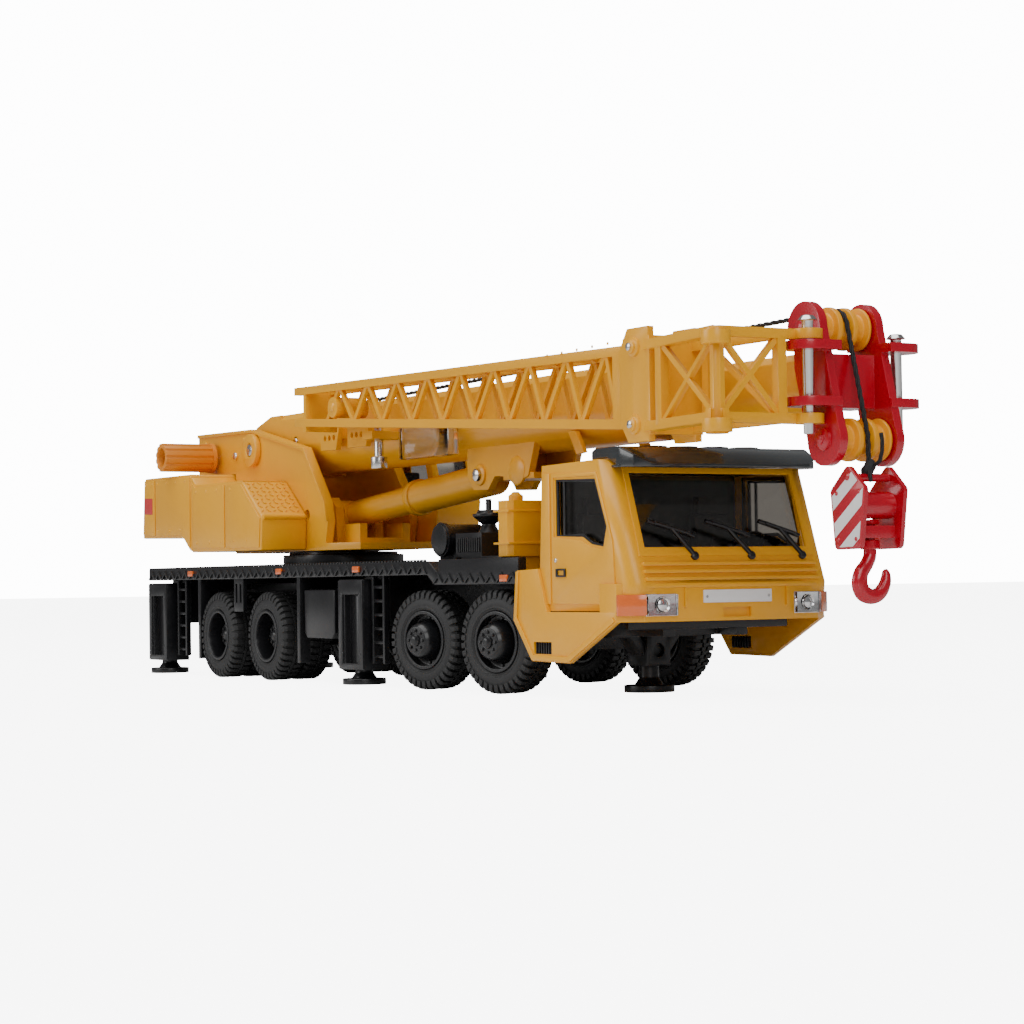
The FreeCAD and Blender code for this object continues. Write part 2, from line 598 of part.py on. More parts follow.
def front_jack():
    leg = bar("jack_radius", 9.6, ("jack_station", 0, "pad_lift + 1"))
    foot = bar(5.6, 1.6, ("jack_station", 0, "pad_lift"))
    ankle = cone(3.4, "jack_radius", 1.8, ("jack_station", 0, "pad_lift + 1.5"))
    return node("front_jack", joined(leg, foot, ankle))


# ---------------------------------------------------------------- superstructure

def turntable():
    """Floor, two side plates, the lift cylinder's foot bracket and the cradle in front."""
    floor = prism("XY_Plane", [(-40.6, -13.5), (-40.6, 13.5), (27.5, 13.5), (27.5, -9), (19, -13.5)],
                  "table_high - table_low", (0, 0, "table_low"))
    spigot = bar("spigot_radius", "table_low - deck_top", (0, 0, "deck_top + 0.3"))
    parts = [floor, spigot]
    outline = [(-66.0, 57.0), (-66.0, 69.6), (-29.1, 69.1), (4.1, 62.2), (16.3, 47.2),
               (17.6, 42.0), (15.8, 35.4), (-40.4, 35.4), (-40.4, 57.0)]
    for _, side in SIDES:
        high = "plate_y" if side > 0 else "-plate_y + plate_wall"
        parts.append(prism("XZ_Plane", outline, "plate_wall", (0, high, 0)))
        parts.append(bar(3.4, 0.9, ("luff_x", 13.4 if side > 0 else -14.3, "luff_z"), LEFT))
    parts.append(block((3, 22.8, 2.4), (-64, -11.4, 58.5)))
    ear = [("foot_x - 4.4", 36), ("foot_x - 4.4", 45.5), ("foot_x - 2.6", 48.4), ("foot_x + 1.6", 48.6),
           ("foot_x + 4.2", 46), ("foot_x + 5.2", 36)]
    for high in (7.0, -4.6):
        parts.append(prism("XZ_Plane", ear, 2.4, (0, high, 0)))
    cradle = less(block((9, 15, 5.6), (15.4, -7.5, 35.6)), block((12, 10.6, 6), (14, -5.3, 37.4)))
    parts.append(cradle)
    holes = [bar("luff_pin", 40, ("luff_x", -20, "luff_z"), LEFT),
             bar("pin_radius", 40, ("foot_x", -20, "foot_z"), LEFT),
             bar("1.4 + run_gap", 40, ("winch_x", -20, "winch_z"), LEFT)]
    return node("turntable", less(joined(*parts), *holes))


def superstructure_pins():
    """Pins of the boom and of the lift cylinder's foot."""
    luff = bar("luff_pin", 29.6, ("luff_x", -14.8, "luff_z"), LEFT)
    foot = bar("pin_radius", 14.4, ("foot_x", -7.2, "foot_z"), LEFT)
    return node("superstructure_pins", group(luff, foot))


def counterweight():
    """Rear weight across the whole width, stepped up over the deck's end."""
    outline = [(-76.5, 39.4), (-74.7, 57.0), (-41.6, 56.9), (-41.0, 55.0), (-41.0, 35.0), (-42.6, 35.4),
               (-47.3, 39.0)]
    return node("counterweight", prism("XZ_Plane", outline, "2 * weight_half", middle=True))


def deck_boxes():
    """Side boxes beside the side plates, with sloped tread covers."""
    outline = [(-40.8, 34.8), (-40.8, 56.0), (-38.4, 53.8), (-6.9, 53.3), (5.4, 43.6), (4.6, 34.6)]
    right = prism("XZ_Plane", outline, "weight_half - plate_y - 0.1", (0, "-plate_y - 0.1", 0))
    short = [(-40.8, 34.8), (-40.8, 56.0), (-38.4, 53.8), (-14, 53.5), (-14, 34.8)]
    left = prism("XZ_Plane", short, "weight_half - plate_y - 0.1", (0, "weight_half", 0))
    return node("deck_boxes", group(right, left))


def operator_cab():
    """Crane operator's cab on the left, hollow, with window openings."""
    outline = [(-13, 35.4), (26.5, 35.4), (28.6, 47), (22.5, 64), (-13, 64)]
    inside = [(-11.9, 36.6), (25.6, 36.6), (27.3, 47), (21.6, 62.9), (-11.9, 62.9)]
    shell = prism("XZ_Plane", outline, 13.2, (0, 27.0, 0))
    hollow = prism("XZ_Plane", inside, 11.0, (0, 25.9, 0))
    side = prism("XZ_Plane", [(-9, 48.5), (4, 48.5), (4, 61.5), (-9, 61.5)], 20, (0, 30, 0))
    door = prism("XZ_Plane", [(7, 48.5), (24.6, 48.5), (20.6, 61.5), (7, 61.5)], 20, (0, 30, 0))
    front = block((14, 9.4, 14.5), (18, 15.7, 47.8))
    return node("operator_cab", less(shell, hollow, side, door, front))


def winch():
    drum = bar("drum_radius", 20.8, ("winch_x", -10.4, "winch_z"), LEFT)
    ends = [bar("drum_radius + 1.6", 1.0, ("winch_x", y, "winch_z"), LEFT) for y in (-10.6, 9.6)]
    shaft = bar(1.4, 33.0, ("winch_x", -18.6, "winch_z"), LEFT)
    node("winch_drum", joined(drum, *ends, shaft))
    grip = bar("knob_radius", "knob_end - knob_start", ("winch_x", "-knob_end", "winch_z"), LEFT)
    seat = bar(1.4, 4.0, ("winch_x", -18.6, "winch_z"), LEFT)
    dish = bar(2.4, 0.8, ("winch_x", "-knob_end", "winch_z"), LEFT)
    node("winch_knob", less(grip, seat, dish))


def lift_cylinder():
    """Inner tube on the foot pin and sleeve towards the head pin, lying along one line."""
    foot = Vector(D.foot_x, 0, D.foot_z)
    head = Vector(D.head_x, 0, D.head_z)
    way = (head - foot).normalize()
    reach = (head - foot).Length
    eye = bar(4.0, 8.4, ("foot_x", -4.2, "foot_z"), LEFT)
    start = foot + way * 3.2
    tube = bar("lift_inner", 71.5 - 3.2, (f"{start.x:.5f}", 0, f"{start.z:.5f}"), way)
    gap = bar("pin_radius + run_gap", 12, ("foot_x", -6, "foot_z"), LEFT)
    node("lift_rod", less(joined(eye, tube), gap))
    mouth = foot + way * 37.5
    sleeve = bar("lift_radius", reach - 4.6 - 37.5, (f"{mouth.x:.5f}", 0, f"{mouth.z:.5f}"), way)
    collar = bar("lift_radius + 0.5", 2.4, (f"{mouth.x:.5f}", 0, f"{mouth.z:.5f}"), way)
    inside = foot + way * 36.5
    bore = bar("lift_inner + run_gap", 36.4, (f"{inside.x:.5f}", 0, f"{inside.z:.5f}"), way)
    node("lift_sleeve", less(joined(sleeve, collar), bore))


# ---------------------------------------------------------------- boom

def section_profile(half, low, high):
    """Flat sides and top with small bevels, and a rounded belly over the lower part."""
    belly = f"0.47 * ({high} - ({low}))"
    points = [(half, f"{high} - 1.6"), (f"{half} - 1.6", high),
              (f"1.6 - ({half})", high), (f"-({half})", f"{high} - 1.6")]
    steps = 8
    for i in range(steps + 1):
        angle = math.pi * i / steps
        across, down = math.cos(angle), math.sin(angle)
        points.append((f"-({half}) * {across:.6f}", f"{low} + {belly} * {1 - down:.6f}"))
    return points


def section(half, low, high, rear, front):
    """One boom section: a closed tube behind, open at the front."""
    outer = prism("YZ_Plane", section_profile(half, low, high), f"{front} - {rear}", (rear, 0, 0))
    inside = section_profile(f"{half} - shell", f"{low} + shell", f"{high} - shell")
    inner = prism("YZ_Plane", inside, f"{front} - {rear}", (f"{rear} + 2.4", 0, 0))
    return less(outer, inner)


def boom_base():
    """Base section with its pivot cheeks, lift cylinder bracket and jib hangers."""
    tube = section("base_half", "base_low", "base_high", -18, "base_front")
    cheek = [(-36, 60.5), (-33.5, 56.4), (-26, 55.6), (-17.5, 55.8),
             (-17.5, 72.4), (-24, 72.4), (-33.5, 69.8), (-36, 66)]
    heel = prism("XZ_Plane", cheek, "2 * base_half", middle=True)
    parts = [tube, heel]
    web = [(80.6, 58.5), (80.6, 51), (83.6, 47.6), (90.4, 47.4), (93.6, 50.5),
           (97, 50.4), (104, 48.6), (109, 50), (112.5, 58.5)]
    for high in (6.9, -5.1):
        parts.append(prism("XZ_Plane", web, 1.8, (0, high, 0)))
    parts.append(block((14, 13, 1.4), (97, -6.5, 49.4)))
    parts.append(prism("XZ_Plane", [(95.4, 60), (95.4, 50.6), (97.6, 50.0), (97.6, 60)], 12, middle=True))
    for rear, wide in ((13.4, 10.8), (29.0, 12.2)):
        hanger = [(rear, 60.8), (rear + wide - 2, 60.6), (rear + wide, 66.6), (rear, 67.4)]
        parts.append(prism("XZ_Plane", hanger, 1.4, (0, "-base_half - 1.8", 0)))
        parts.append(block((wide - 2, 2.2, 3), (rear, "-base_half - 2", 63.6)))
    parts.append(block((5.6, 10, 2.0), (49.0, "-base_half - 9.4", 61.6)))
    bore = section_profile("base_half - shell", "base_low + shell", "base_high - shell")
    holes = [prism("YZ_Plane", bore, "base_front + 18", (-15.6, 0, 0)),
             bar("luff_pin + run_gap", 40, ("luff_x", -20, "luff_z"), LEFT),
             bar(1.25, 10, (51.8, -16, 58)),
             bar(1.3, 30, (-8.5, -15, 64.6), LEFT)]
    for rear in (13.4, 29.0):
        for i in range(3):
            holes.append(bar(0.8, 4, (rear + 2.4 + 2.6 * i, "-base_half - 5", 63.9), LEFT))
    pin = bar("pin_radius", 14.4, ("head_x", -7.2, "head_z"), LEFT)
    return node("boom_base", joined(less(joined(*parts), *holes), pin))


def inner_sections():
    """Second and third sections, each nested in the one before."""
    stages = (("boom_mid", "nest", 0, "mid_front"), ("boom_tip", "2 * nest", 20, "tip_front"))
    for label, step, rear, front in stages:
        node(label, section(f"base_half - {step}", f"base_low + {step}", f"base_high - {step}", rear, front))


def boom_head():
    """Red head: two cheek plates with lobes, a box between them and four pin lugs."""
    parts = [block((7.5, 12.4, 10.6), ("tip_front", -6.2, 58.4))]
    for _, side in SIDES:
        high = "cheek_in + cheek_wall" if side > 0 else "-cheek_in"
        low = "cheek_in" if side > 0 else "-cheek_in - cheek_wall"
        plate = [(f"sheave_{end}_x {sign} cheek_radius", f"sheave_{end}_z")
                 for end, sign in (("top", "-"), ("top", "+"), ("low", "+"), ("low", "-"))]
        parts.append(prism("XZ_Plane", plate, "cheek_wall", (0, high, 0)))
        for x, z in (("sheave_top_x", "sheave_top_z"), ("sheave_low_x", "sheave_low_z")):
            parts.append(bar("cheek_radius", "cheek_wall", (x, low, z), LEFT))
        for level in (69.4, 58.4):
            parts.append(bar("lug_radius", 1.8, ("lug_x", f"{side} * lug_y", level)))
            edge = "cheek_in" if side > 0 else "-lug_y"
            corner = ("lug_x - lug_radius", edge, level)
            parts.append(block(("2 * lug_radius", "lug_y - cheek_in", 1.8), corner))
    for x, z in (("sheave_top_x", "sheave_top_z"), ("sheave_low_x", "sheave_low_z")):
        parts.append(bar("axle_radius", 12.6, (x, -6.3, z), LEFT))
    holes = [bar("head_pin + 0.02", 30, ("lug_x", f"{side} * lug_y", 50)) for _, side in SIDES]
    holes.append(block((9, 20, 12.4), ("tip_front - 9", -10, 57.8)))
    return node("boom_head", less(joined(*parts), *holes))


def head_pins():
    """Two bright pins through the lugs: a short one for the jib and a long spare one."""
    near = bar("head_pin", 22.4, ("lug_x", "-lug_y", 53.0))
    near_cap = cone(2.0, 1.2, 1.0, ("lug_x", "-lug_y", 75.2))
    far = bar("head_pin", 20.6, ("lug_x", "lug_y", 51.9))
    far_cap = cone(2.0, 1.2, 1.0, ("lug_x", "lug_y", 72.3))
    return node("head_pins", group(joined(near, near_cap), joined(far, far_cap)))


def sheaves(label, x, z):
    """Three grooved sheaves turning on one axle."""
    outline = [("-sheave_half", "axle_radius + run_gap"), ("-sheave_half", "sheave_radius")]
    width = 2 * D.sheave_half / 3
    lip, floor_from = 0.6, 0.9
    for i in range(3):
        start = -D.sheave_half + i * width
        end = start + width
        outline += [(start + lip, "sheave_radius"), (start + floor_from, "sheave_radius - groove_deep"),
                    (end - floor_from, "sheave_radius - groove_deep"), (end - lip, "sheave_radius")]
    outline += [("sheave_half", "sheave_radius"), ("sheave_half", "axle_radius + run_gap")]
    return node(label, turned("XY_Plane", outline, "H_Axis", (x, 0, z), Rotation(ALONG, LEFT)))


# ---------------------------------------------------------------- stowed jib

def strut(start, end, wide):
    """Square bar of the named width with its middle line from start to end."""
    start, end = Vector(*start), Vector(*end)
    turn = Rotation(UP, end - start)
    half = getattr(D, wide) / 2
    made = doc.addObject("Part::Box", "Strut")
    bind(made, "Length", wide)
    bind(made, "Width", wide)
    made.Height = (end - start).Length
    made.Placement = Placement(start + turn.multVec(Vector(-half, -half, 0)), turn)
    return made


def chord_z(x):
    """Heights of the upper and lower chord middles of the long jib at station x."""
    share = (184 - x) / (184 - 31)
    return 72.4 + 2.8 * share, 56.9 + 10.0 * share


def jib_lattice():
    """Long tapering lattice with zigzag sides, an end plate and a plate at its hinge."""
    inner, outer = D.jib_in - 1, D.jib_out + 1
    parts = []
    ends = {x: chord_z(x) for x in (25.0, 31.0, 184.0)}
    for y in (inner, outer):
        for k in (0, 1):
            parts.append(strut((25.0, y, ends[25.0][k]), (184.5, y, ends[184.0][k]), "chord"))
        low = [42.2 + 15.03 * i for i in range(9)] + [176.5]
        high = [49.6 + 15.32 * i for i in range(9)]
        for i, x in enumerate(high):
            top = (x, y, chord_z(x)[0])
            for foot in (low[i], low[i + 1]):
                parts.append(strut((foot, y, chord_z(foot)[1]), top, "web"))
    for k in (0, 1):
        for i in range(10):
            x = 35 + 15.3 * i
            parts.append(strut((x, inner, chord_z(x)[k]), (x + 7.65, outer, chord_z(x + 7.65)[k]), "web"))
            parts.append(strut((x + 7.65, outer, chord_z(x + 7.65)[k]), (x + 15.3 if i < 9 else 182.0, inner,
                                                                       chord_z(x + 15.3)[k]), "web"))
    outline = [(175.5, 57.6), (184.5, 56.6), (184.5, 72.6), (175.5, 72.4)]
    plate = prism("XZ_Plane", outline, 1.5, (0, "jib_out + 1.5", 0))
    back = prism("XZ_Plane", outline, 1.5, (0, "jib_in", 0))
    parts += [plate, back, block((1.4, 9, 17.6), (182.7, "jib_out", 55.8))]
    parts.append(block((1.4, 9, 11.4), (30.2, "jib_out", 64.6)))
    parts.append(bar(2.6, 9, (46.8, "jib_out", 69.8), LEFT))
    hole = bar(2.2, 20, (181.4 - 0.6, -32, 66.3), LEFT)
    return node("jib_lattice", less(joined(*parts), hole))


def jib_base():
    """Wide foot of the jib: lugs round the pin, crossed bracing and the hinge brackets."""
    top, low = 72.5, 56.0
    front, back, plane = 220.0, 190.5, 196.5
    inner, outer = (-17.0, -17.0), (-31.8, -27.6)
    parts = []
    for y, end in (inner, outer):
        near = y + (end - y) * (front - plane) / (front - back)
        for level in (top, low):
            parts.append(strut((front, y, level), (back, end, level), "chord"))
        parts.append(strut((front, y, low - 0.9), (front, y, top + 0.9), "chord"))
        parts.append(strut((plane, near, low), (plane, near, top), "chord"))
        parts.append(strut((front, y, low), (plane, near, top), "web"))
        parts.append(strut((front, y, top), (plane, near, low), "web"))
    for level in (top, low):
        parts.append(strut((front, outer[0] - 0.9, level), (front, -10.2, level), "chord"))
        parts.append(strut((front, outer[0], level), (plane, inner[1], level), "web"))
    parts.append(strut((front, outer[0], low), (front, inner[0], top), "web"))
    parts.append(strut((front, outer[0], top), (front, inner[0], low), "web"))
    for y, z, high in (("-lug_y", 71.5, 2), ("-lug_y", 55, 2), ("jib_far", 69.8, 2.6), ("jib_far", 53, 2.6)):
        parts.append(bar(2.9, high, ("lug_x", y, z)))
    for z in (55.0, 69.8):
        parts.append(block((3.0, 3.4, 2.6), (219.0, "jib_far - 1", z)))
    bracket = [(181, 57.5), (184, 53.1), (191.5, 53.1), (191.5, 76.4), (184, 76.4), (181, 72)]
    for high in (-15.4, -26.9):
        parts.append(prism("XZ_Plane", bracket, 1.5, (0, high, 0)))
    parts.append(block((1.6, 13.0, 20), (190.4, -28.4, 54.5)))
    hinges = [bar(1.0, 15.4, ("hinge_x", -29.6, z), LEFT) for z in (72.5, 56.7)]
    bores = [bar("head_pin + 0.05", 30, ("lug_x", y, 50)) for y in ("-lug_y", "jib_far")]
    return node("jib_base", less(joined(*parts, *hinges), *bores))


def jib_stow_pin():
    """Bright pin with a yellow knob that locks the stowed jib to its bracket."""
    stem = bar(1.15, 7.2, (51.8, -16, 57.2))
    head = cone(1.15, 1.0, 0.6, (51.8, -16, 64.4))
    knob = bar(2.1, 3.0, (51.8, -16, 54.2))
    return node("jib_stow_pin", joined(stem, head, knob))


# ---------------------------------------------------------------- rope and hook

def cord(points, radii):
    """Cord of straight runs joined by tangent arcs of the given radii, in one tube."""
    places = [Vector(*p) for p in points]
    edges = []
    here = places[0]
    for before, corner, after, radius in zip(places, places[1:], places[2:], radii):
        enter, leave = (corner - before).normalize(), (after - corner).normalize()
        turn = enter.getAngle(leave)
        back = radius * math.tan(turn / 2)
        start, end = corner - enter * back, corner + leave * back
        inward = (leave - enter).normalize()
        middle = corner + inward * (radius / math.cos(turn / 2) - radius)
        edges += [Part.makeLine(here, start), Part.Arc(start, middle, end).toShape()]
        here = end
    edges.append(Part.makeLine(here, places[-1]))
    path = Part.Wire(edges)
    tangent = (places[1] - places[0]).normalize()
    ring = Part.Wire([Part.makeCircle(D.rope_radius, places[0], tangent)])
    tube = path.makePipeShell([ring], True, False)
    made = doc.addObject("Part::Feature", "Cord")
    made.Shape = tube
    made.Placement = Placement()
    return made


def rope_run():
    """Rope from the boom's heel along its top, over the upper sheave and down the front of the head."""
    wrap = D.sheave_radius - D.rope_sunk
    top, low = Vector(D.sheave_top_x, 0, D.sheave_top_z), Vector(D.sheave_low_x, 0, D.sheave_low_z)
    down = (low - top).normalize()
    outward = Vector(-down.z, 0, down.x)
    leave = low + outward * wrap
    corner = top + outward * wrap - down * ((wrap - outward.z * wrap) / -down.z)
    heel = D.base_high + 1.1
    points = [(-16.0, 0.0, heel), tuple(corner), tuple(leave)]
    radii = (wrap,)
    length = sum((Vector(*b) - Vector(*a)).Length for a, b in zip(points, points[1:]))
    print("rope run: radii", radii, "length", round(length, 1))
    return node("rope_run", cord(points, radii))


def rope_fall():
    """Last straight of the rope, from the lower sheave to its knot on the hook block."""
    x = "sheave_low_x + sheave_radius - rope_sunk"
    fall = bar("rope_radius", "sheave_low_z - hook_z", (x, 0, "hook_z"))
    knot = doc.addObject("Part::Sphere", "Knot")
    bind(knot, "Radius", 1.3)
    return node("rope_fall", joined(fall, put(knot, (x, 0, "hook_z"))))


def hook_block():
    """Two side plates, their cross bars and spool, and the swivel nut."""
    plate = [(225.9, 47.0), (231.0, 42.2), (229.4, 30.5), (221.6, 30.4), (220.4, 42.0)]
    parts = []
    for high in (5.4, -4.4):
        parts.append(prism("XZ_Plane", plate, 1.0, (0, high, 0), round_edges=runs_along(LEFT), radius=1.2))
    parts.append(bar(0.8, 9.6, (226.0, -4.8, 44.4), LEFT))
    parts.append(bar(2.7, 9.4, (225.9, -4.7, 39.0), LEFT))
    parts.append(block((4.6, 9.4, 2.4), (223.3, -4.7, 32.6)))
    hole = bar("1.0 + run_gap", 6, (225.6, 0, 31.0))
    return node("hook_block", less(joined(*parts), hole))


def hook():
    """Crane hook hanging from the swivel, its mouth towards the left."""
    stem = bar(1.0, 5.0, (225.6, 0, 30.2))
    head = bar(1.9, 1.0, (225.6, 0, 35.2))
    collar = bar(1.9, 1.8, (225.6, 0, 30.4))
    outer = [(-1.6, 30.8), (1.6, 30.8), (1.9, 28.6), (1.0, 27.2), (-0.4, 26.0), (-1.0, 24.6), (-0.6, 23.4),
             (0.6, 22.7), (2.0, 23.2), (2.6, 24.6), (3.6, 26.7), (4.6, 25.6), (4.9, 23.8), (4.4, 21.8),
             (3.0, 20.4), (0.9, 19.7), (-1.4, 20.0), (-3.4, 21.4), (-4.6, 23.4), (-4.3, 25.6), (-2.9, 27.8)]
    body = prism("YZ_Plane", outer, 2.6, (224.3, 0, 0))
    return node("hook", joined(stem, head, collar, body))


# ---------------------------------------------------------------- the whole truck

def build():
    fill_sheet()
    chassis()
    deck()
    slew_ring()
    engine_group()
    coolant_tank()
    side_boxes()
    cab_shell()
    cab_glass()
    cab_interior()
    visor()
    bumper()
    lamps()
    rear_axle("rear_first", "rear_axle_first")
    rear_axle("rear_second", "rear_axle_second")
    for row, pins in (("first", "pin_first"), ("second", "pin_second")):
        for name, side in SIDES:
            steered_wheel(f"{row}_{name}", pins, side)
    for row, station in (("rear", "rear_leg"), ("mid", "mid_leg")):
        for name, side in SIDES:
            outrigger(f"{row}_{name}", station, side)
    front_jack()
    turntable()
    superstructure_pins()
    counterweight()
    deck_boxes()
    operator_cab()
    winch()
    lift_cylinder()
    boom_base()
    inner_sections()
    boom_head()
    head_pins()
    sheaves("top_sheaves", "sheave_top_x", "sheave_top_z")
    sheaves("low_sheaves", "sheave_low_x", "sheave_low_z")
    jib_base()
    jib_lattice()
    jib_stow_pin()
    rope_run()
    rope_fall()
    hook_block()
    hook()


def check():
    """Stop on any broken object or shape, and print each node's solids and volume."""
    broken = [f"{o.Name} ({o.Label}): {o.State}" for o in doc.Objects if {"Invalid", "Error"} & set(o.State)]
    for thing in nodes:
        shape = thing.Shape
        if shape.isNull() or not shape.isValid():
            broken.append(f"{thing.Label}: bad shape")
        else:
            box = shape.BoundBox
            spans = [(box.XMin, box.XMax), (box.YMin, box.YMax), (box.ZMin, box.ZMax)]
            extent = " ".join(f"{low:7.1f} {high:7.1f}" for low, high in spans)
            print(f"{thing.Label:22} solids {len(shape.Solids):2} volume {shape.Volume:9.1f} {extent}")
    if broken:
        raise RuntimeError("not sound: " + "; ".join(broken))


build()
doc.recompute()
check()
os.makedirs("parts", exist_ok=True)
for thing in nodes:
    thing.Shape.exportStep(f"parts/{thing.Label}.step")
print(len(nodes), "nodes written")
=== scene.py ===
# %% Load the frame
import json
import math

import bmesh
import bpy
from mathutils import Matrix, Vector


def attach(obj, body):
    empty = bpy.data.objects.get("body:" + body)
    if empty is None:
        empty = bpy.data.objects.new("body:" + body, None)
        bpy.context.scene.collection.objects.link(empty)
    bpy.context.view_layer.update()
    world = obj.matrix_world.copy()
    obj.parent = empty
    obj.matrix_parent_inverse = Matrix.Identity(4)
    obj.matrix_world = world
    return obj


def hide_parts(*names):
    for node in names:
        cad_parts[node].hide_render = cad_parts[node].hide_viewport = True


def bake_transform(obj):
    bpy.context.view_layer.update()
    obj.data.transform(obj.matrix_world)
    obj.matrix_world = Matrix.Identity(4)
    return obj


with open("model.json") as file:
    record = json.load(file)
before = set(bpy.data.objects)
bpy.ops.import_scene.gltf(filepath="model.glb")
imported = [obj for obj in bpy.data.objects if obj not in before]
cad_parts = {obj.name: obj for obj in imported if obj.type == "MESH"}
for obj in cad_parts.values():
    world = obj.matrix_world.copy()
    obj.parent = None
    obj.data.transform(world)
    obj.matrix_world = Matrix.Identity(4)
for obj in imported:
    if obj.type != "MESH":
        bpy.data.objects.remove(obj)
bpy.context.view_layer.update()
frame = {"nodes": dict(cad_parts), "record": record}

MM = 0.001
nodes = frame["nodes"]

# %% [markdown]
# Everything on this toy is small, so its sizes are written in millimetres and
# turned into metres once, when a mesh is made. These short helpers make the
# shapes that a model maker cuts: a sheet from an outline, a block, a round bar
# and a turned part. Each edge gets a tiny bevel, because a real edge always
# catches a thin line of light.

# %% Shape helpers
WELD = 0.004
FLAT_WITHIN, BEVEL_OVER, SMOOTH_UNDER = math.radians(0.6), math.radians(32), math.radians(38)


def mesh_from(name, verts, faces):
    mesh = bpy.data.meshes.new(name)
    mesh.from_pydata([tuple(MM * c for c in v) for v in verts], [], faces)
    return mesh


def finish_mesh(mesh, bevel=0.0, segments=2):
    """Welds, bevels the sharp edges and smooths by angle."""
    work = bmesh.new()
    work.from_mesh(mesh)
    bmesh.ops.remove_doubles(work, verts=work.verts, dist=WELD * MM)
    if bevel:
        bmesh.ops.dissolve_limit(work, angle_limit=FLAT_WITHIN, verts=work.verts, edges=work.edges)
    bmesh.ops.recalc_face_normals(work, faces=work.faces)
    if bevel:
        edges = [e for e in work.edges if len(e.link_faces) == 2 and e.calc_face_angle(0) > BEVEL_OVER]
        bmesh.ops.bevel(work, geom=edges, offset=bevel * MM, segments=segments, profile=0.6, affect="EDGES",
                        clamp_overlap=True)
    bmesh.ops.triangulate(work, faces=[f for f in work.faces if len(f.verts) > 4])
    work.to_mesh(mesh)
    work.free()
    mesh.shade_smooth()
    mesh.set_sharp_from_angle(angle=SMOOTH_UNDER)
    return mesh


def outline_sheet(points, plane, start, depth, bevel=0.2):
    """A sheet cut from an outline. plane names the outline's two axes; it is depth thick from start."""
    order = {"XZ": (0, 2, 1), "XY": (0, 1, 2), "YZ": (1, 2, 0)}[plane]
    def place(a, b, c):
        spot = [0.0, 0.0, 0.0]
        spot[order[0]], spot[order[1]], spot[order[2]] = a, b, c
        return tuple(spot)
    count = len(points)
    verts = [place(a, b, start) for a, b in points] + [place(a, b, start + depth) for a, b in points]
    faces = [tuple(range(count)), tuple(range(2 * count - 1, count - 1, -1))]
    faces += [(i, (i + 1) % count, count + (i + 1) % count, count + i) for i in range(count)]
    return finish_mesh(mesh_from("sheet", verts, faces), bevel)


def block(low, high, bevel=0.2):
    return outline_sheet([(low[0], low[1]), (high[0], low[1]), (high[0], high[1]), (low[0], high[1])], "XY",
                         low[2], high[2] - low[2], bevel)


def tube_faces(rows, steps, ring=False):
    """Faces between rows of points. The two ends are capped, or joined to each other for a ring."""
    faces = []
    for row in range(rows - 1):
        for i in range(steps):
            a, b = row * steps + i, row * steps + (i + 1) % steps
            faces.append((a, b, b + steps, a + steps))
    last = (rows - 1) * steps
    if ring:
        return faces + [(last + i, last + (i + 1) % steps, (i + 1) % steps, i) for i in range(steps)]
    return faces + [tuple(range(steps - 1, -1, -1)), tuple(range(last, last + steps))]


def lathe(profile, centre, way, steps=48, ring=False):
    """A turned part: profile holds (along, radius) pairs, way is its axis. A ring has a bore, not ends."""
    way = Vector(way).normalized()
    side = way.orthogonal().normalized()
    other = way.cross(side)
    verts = []
    for along, radius in profile:
        for i in range(steps):
            angle = 2 * math.pi * i / steps
            out = (side * math.cos(angle) + other * math.sin(angle)) * max(radius, 0.01)
            verts.append(tuple(Vector(centre) + way * along + out))
    return finish_mesh(mesh_from("turned", verts, tube_faces(len(profile), steps, ring)))


def bar(start, end, radius, steps=24, bevel=0.12):
    way = Vector(end) - Vector(start)
    edge = min(bevel, radius * 0.4)
    profile = [(0, radius - edge), (edge, radius), (way.length - edge, radius), (way.length, radius - edge)]
    return lathe(profile, start, way, steps)


def moved(mesh, matrix):
    copy = mesh.copy()
    copy.transform(matrix)
    if matrix.to_3x3().determinant() < 0:
        copy.flip_normals()
    return copy


def mirrored(mesh):
    return moved(mesh, Matrix.Diagonal((1, -1, 1, 1)))


def piece(name, meshes, material, body, replaces=()):
    """Joins meshes into one object at the origin that rides on a body."""
    work = bmesh.new()
    for mesh in meshes:
        work.from_mesh(mesh)
    joined = bpy.data.meshes.new(name)
    work.to_mesh(joined)
    work.free()
    joined.materials.clear()
    joined.materials.append(material)
    for polygon in joined.polygons:
        polygon.material_index = 0
    made = bpy.data.objects.new(name, joined)
    bpy.context.scene.collection.objects.link(made)
    if body:
        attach(made, body)
    if replaces:
        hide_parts(*replaces)
    print(f"{name}: {len(joined.polygons)} faces on {body}")
    return made


# %% [markdown]
# Painted die-cast metal isn't perfectly even. The paint pools a little in
# corners and thins on edges. Two node groups hold what the finishes share:
# fine grain with a soft mottle, and a mask that finds edges, where handling
# polishes a surface.

# %% Shared shader groups
def new_group(name, inputs, outputs):
    tree = bpy.data.node_groups.new(name, "ShaderNodeTree")
    for label, kind, value in inputs:
        socket = tree.interface.new_socket(name=label, in_out="INPUT", socket_type=kind)
        socket.default_value = value
    for label, kind in outputs:
        tree.interface.new_socket(name=label, in_out="OUTPUT", socket_type=kind)
    return tree, tree.nodes.new("NodeGroupInput"), tree.nodes.new("NodeGroupOutput")


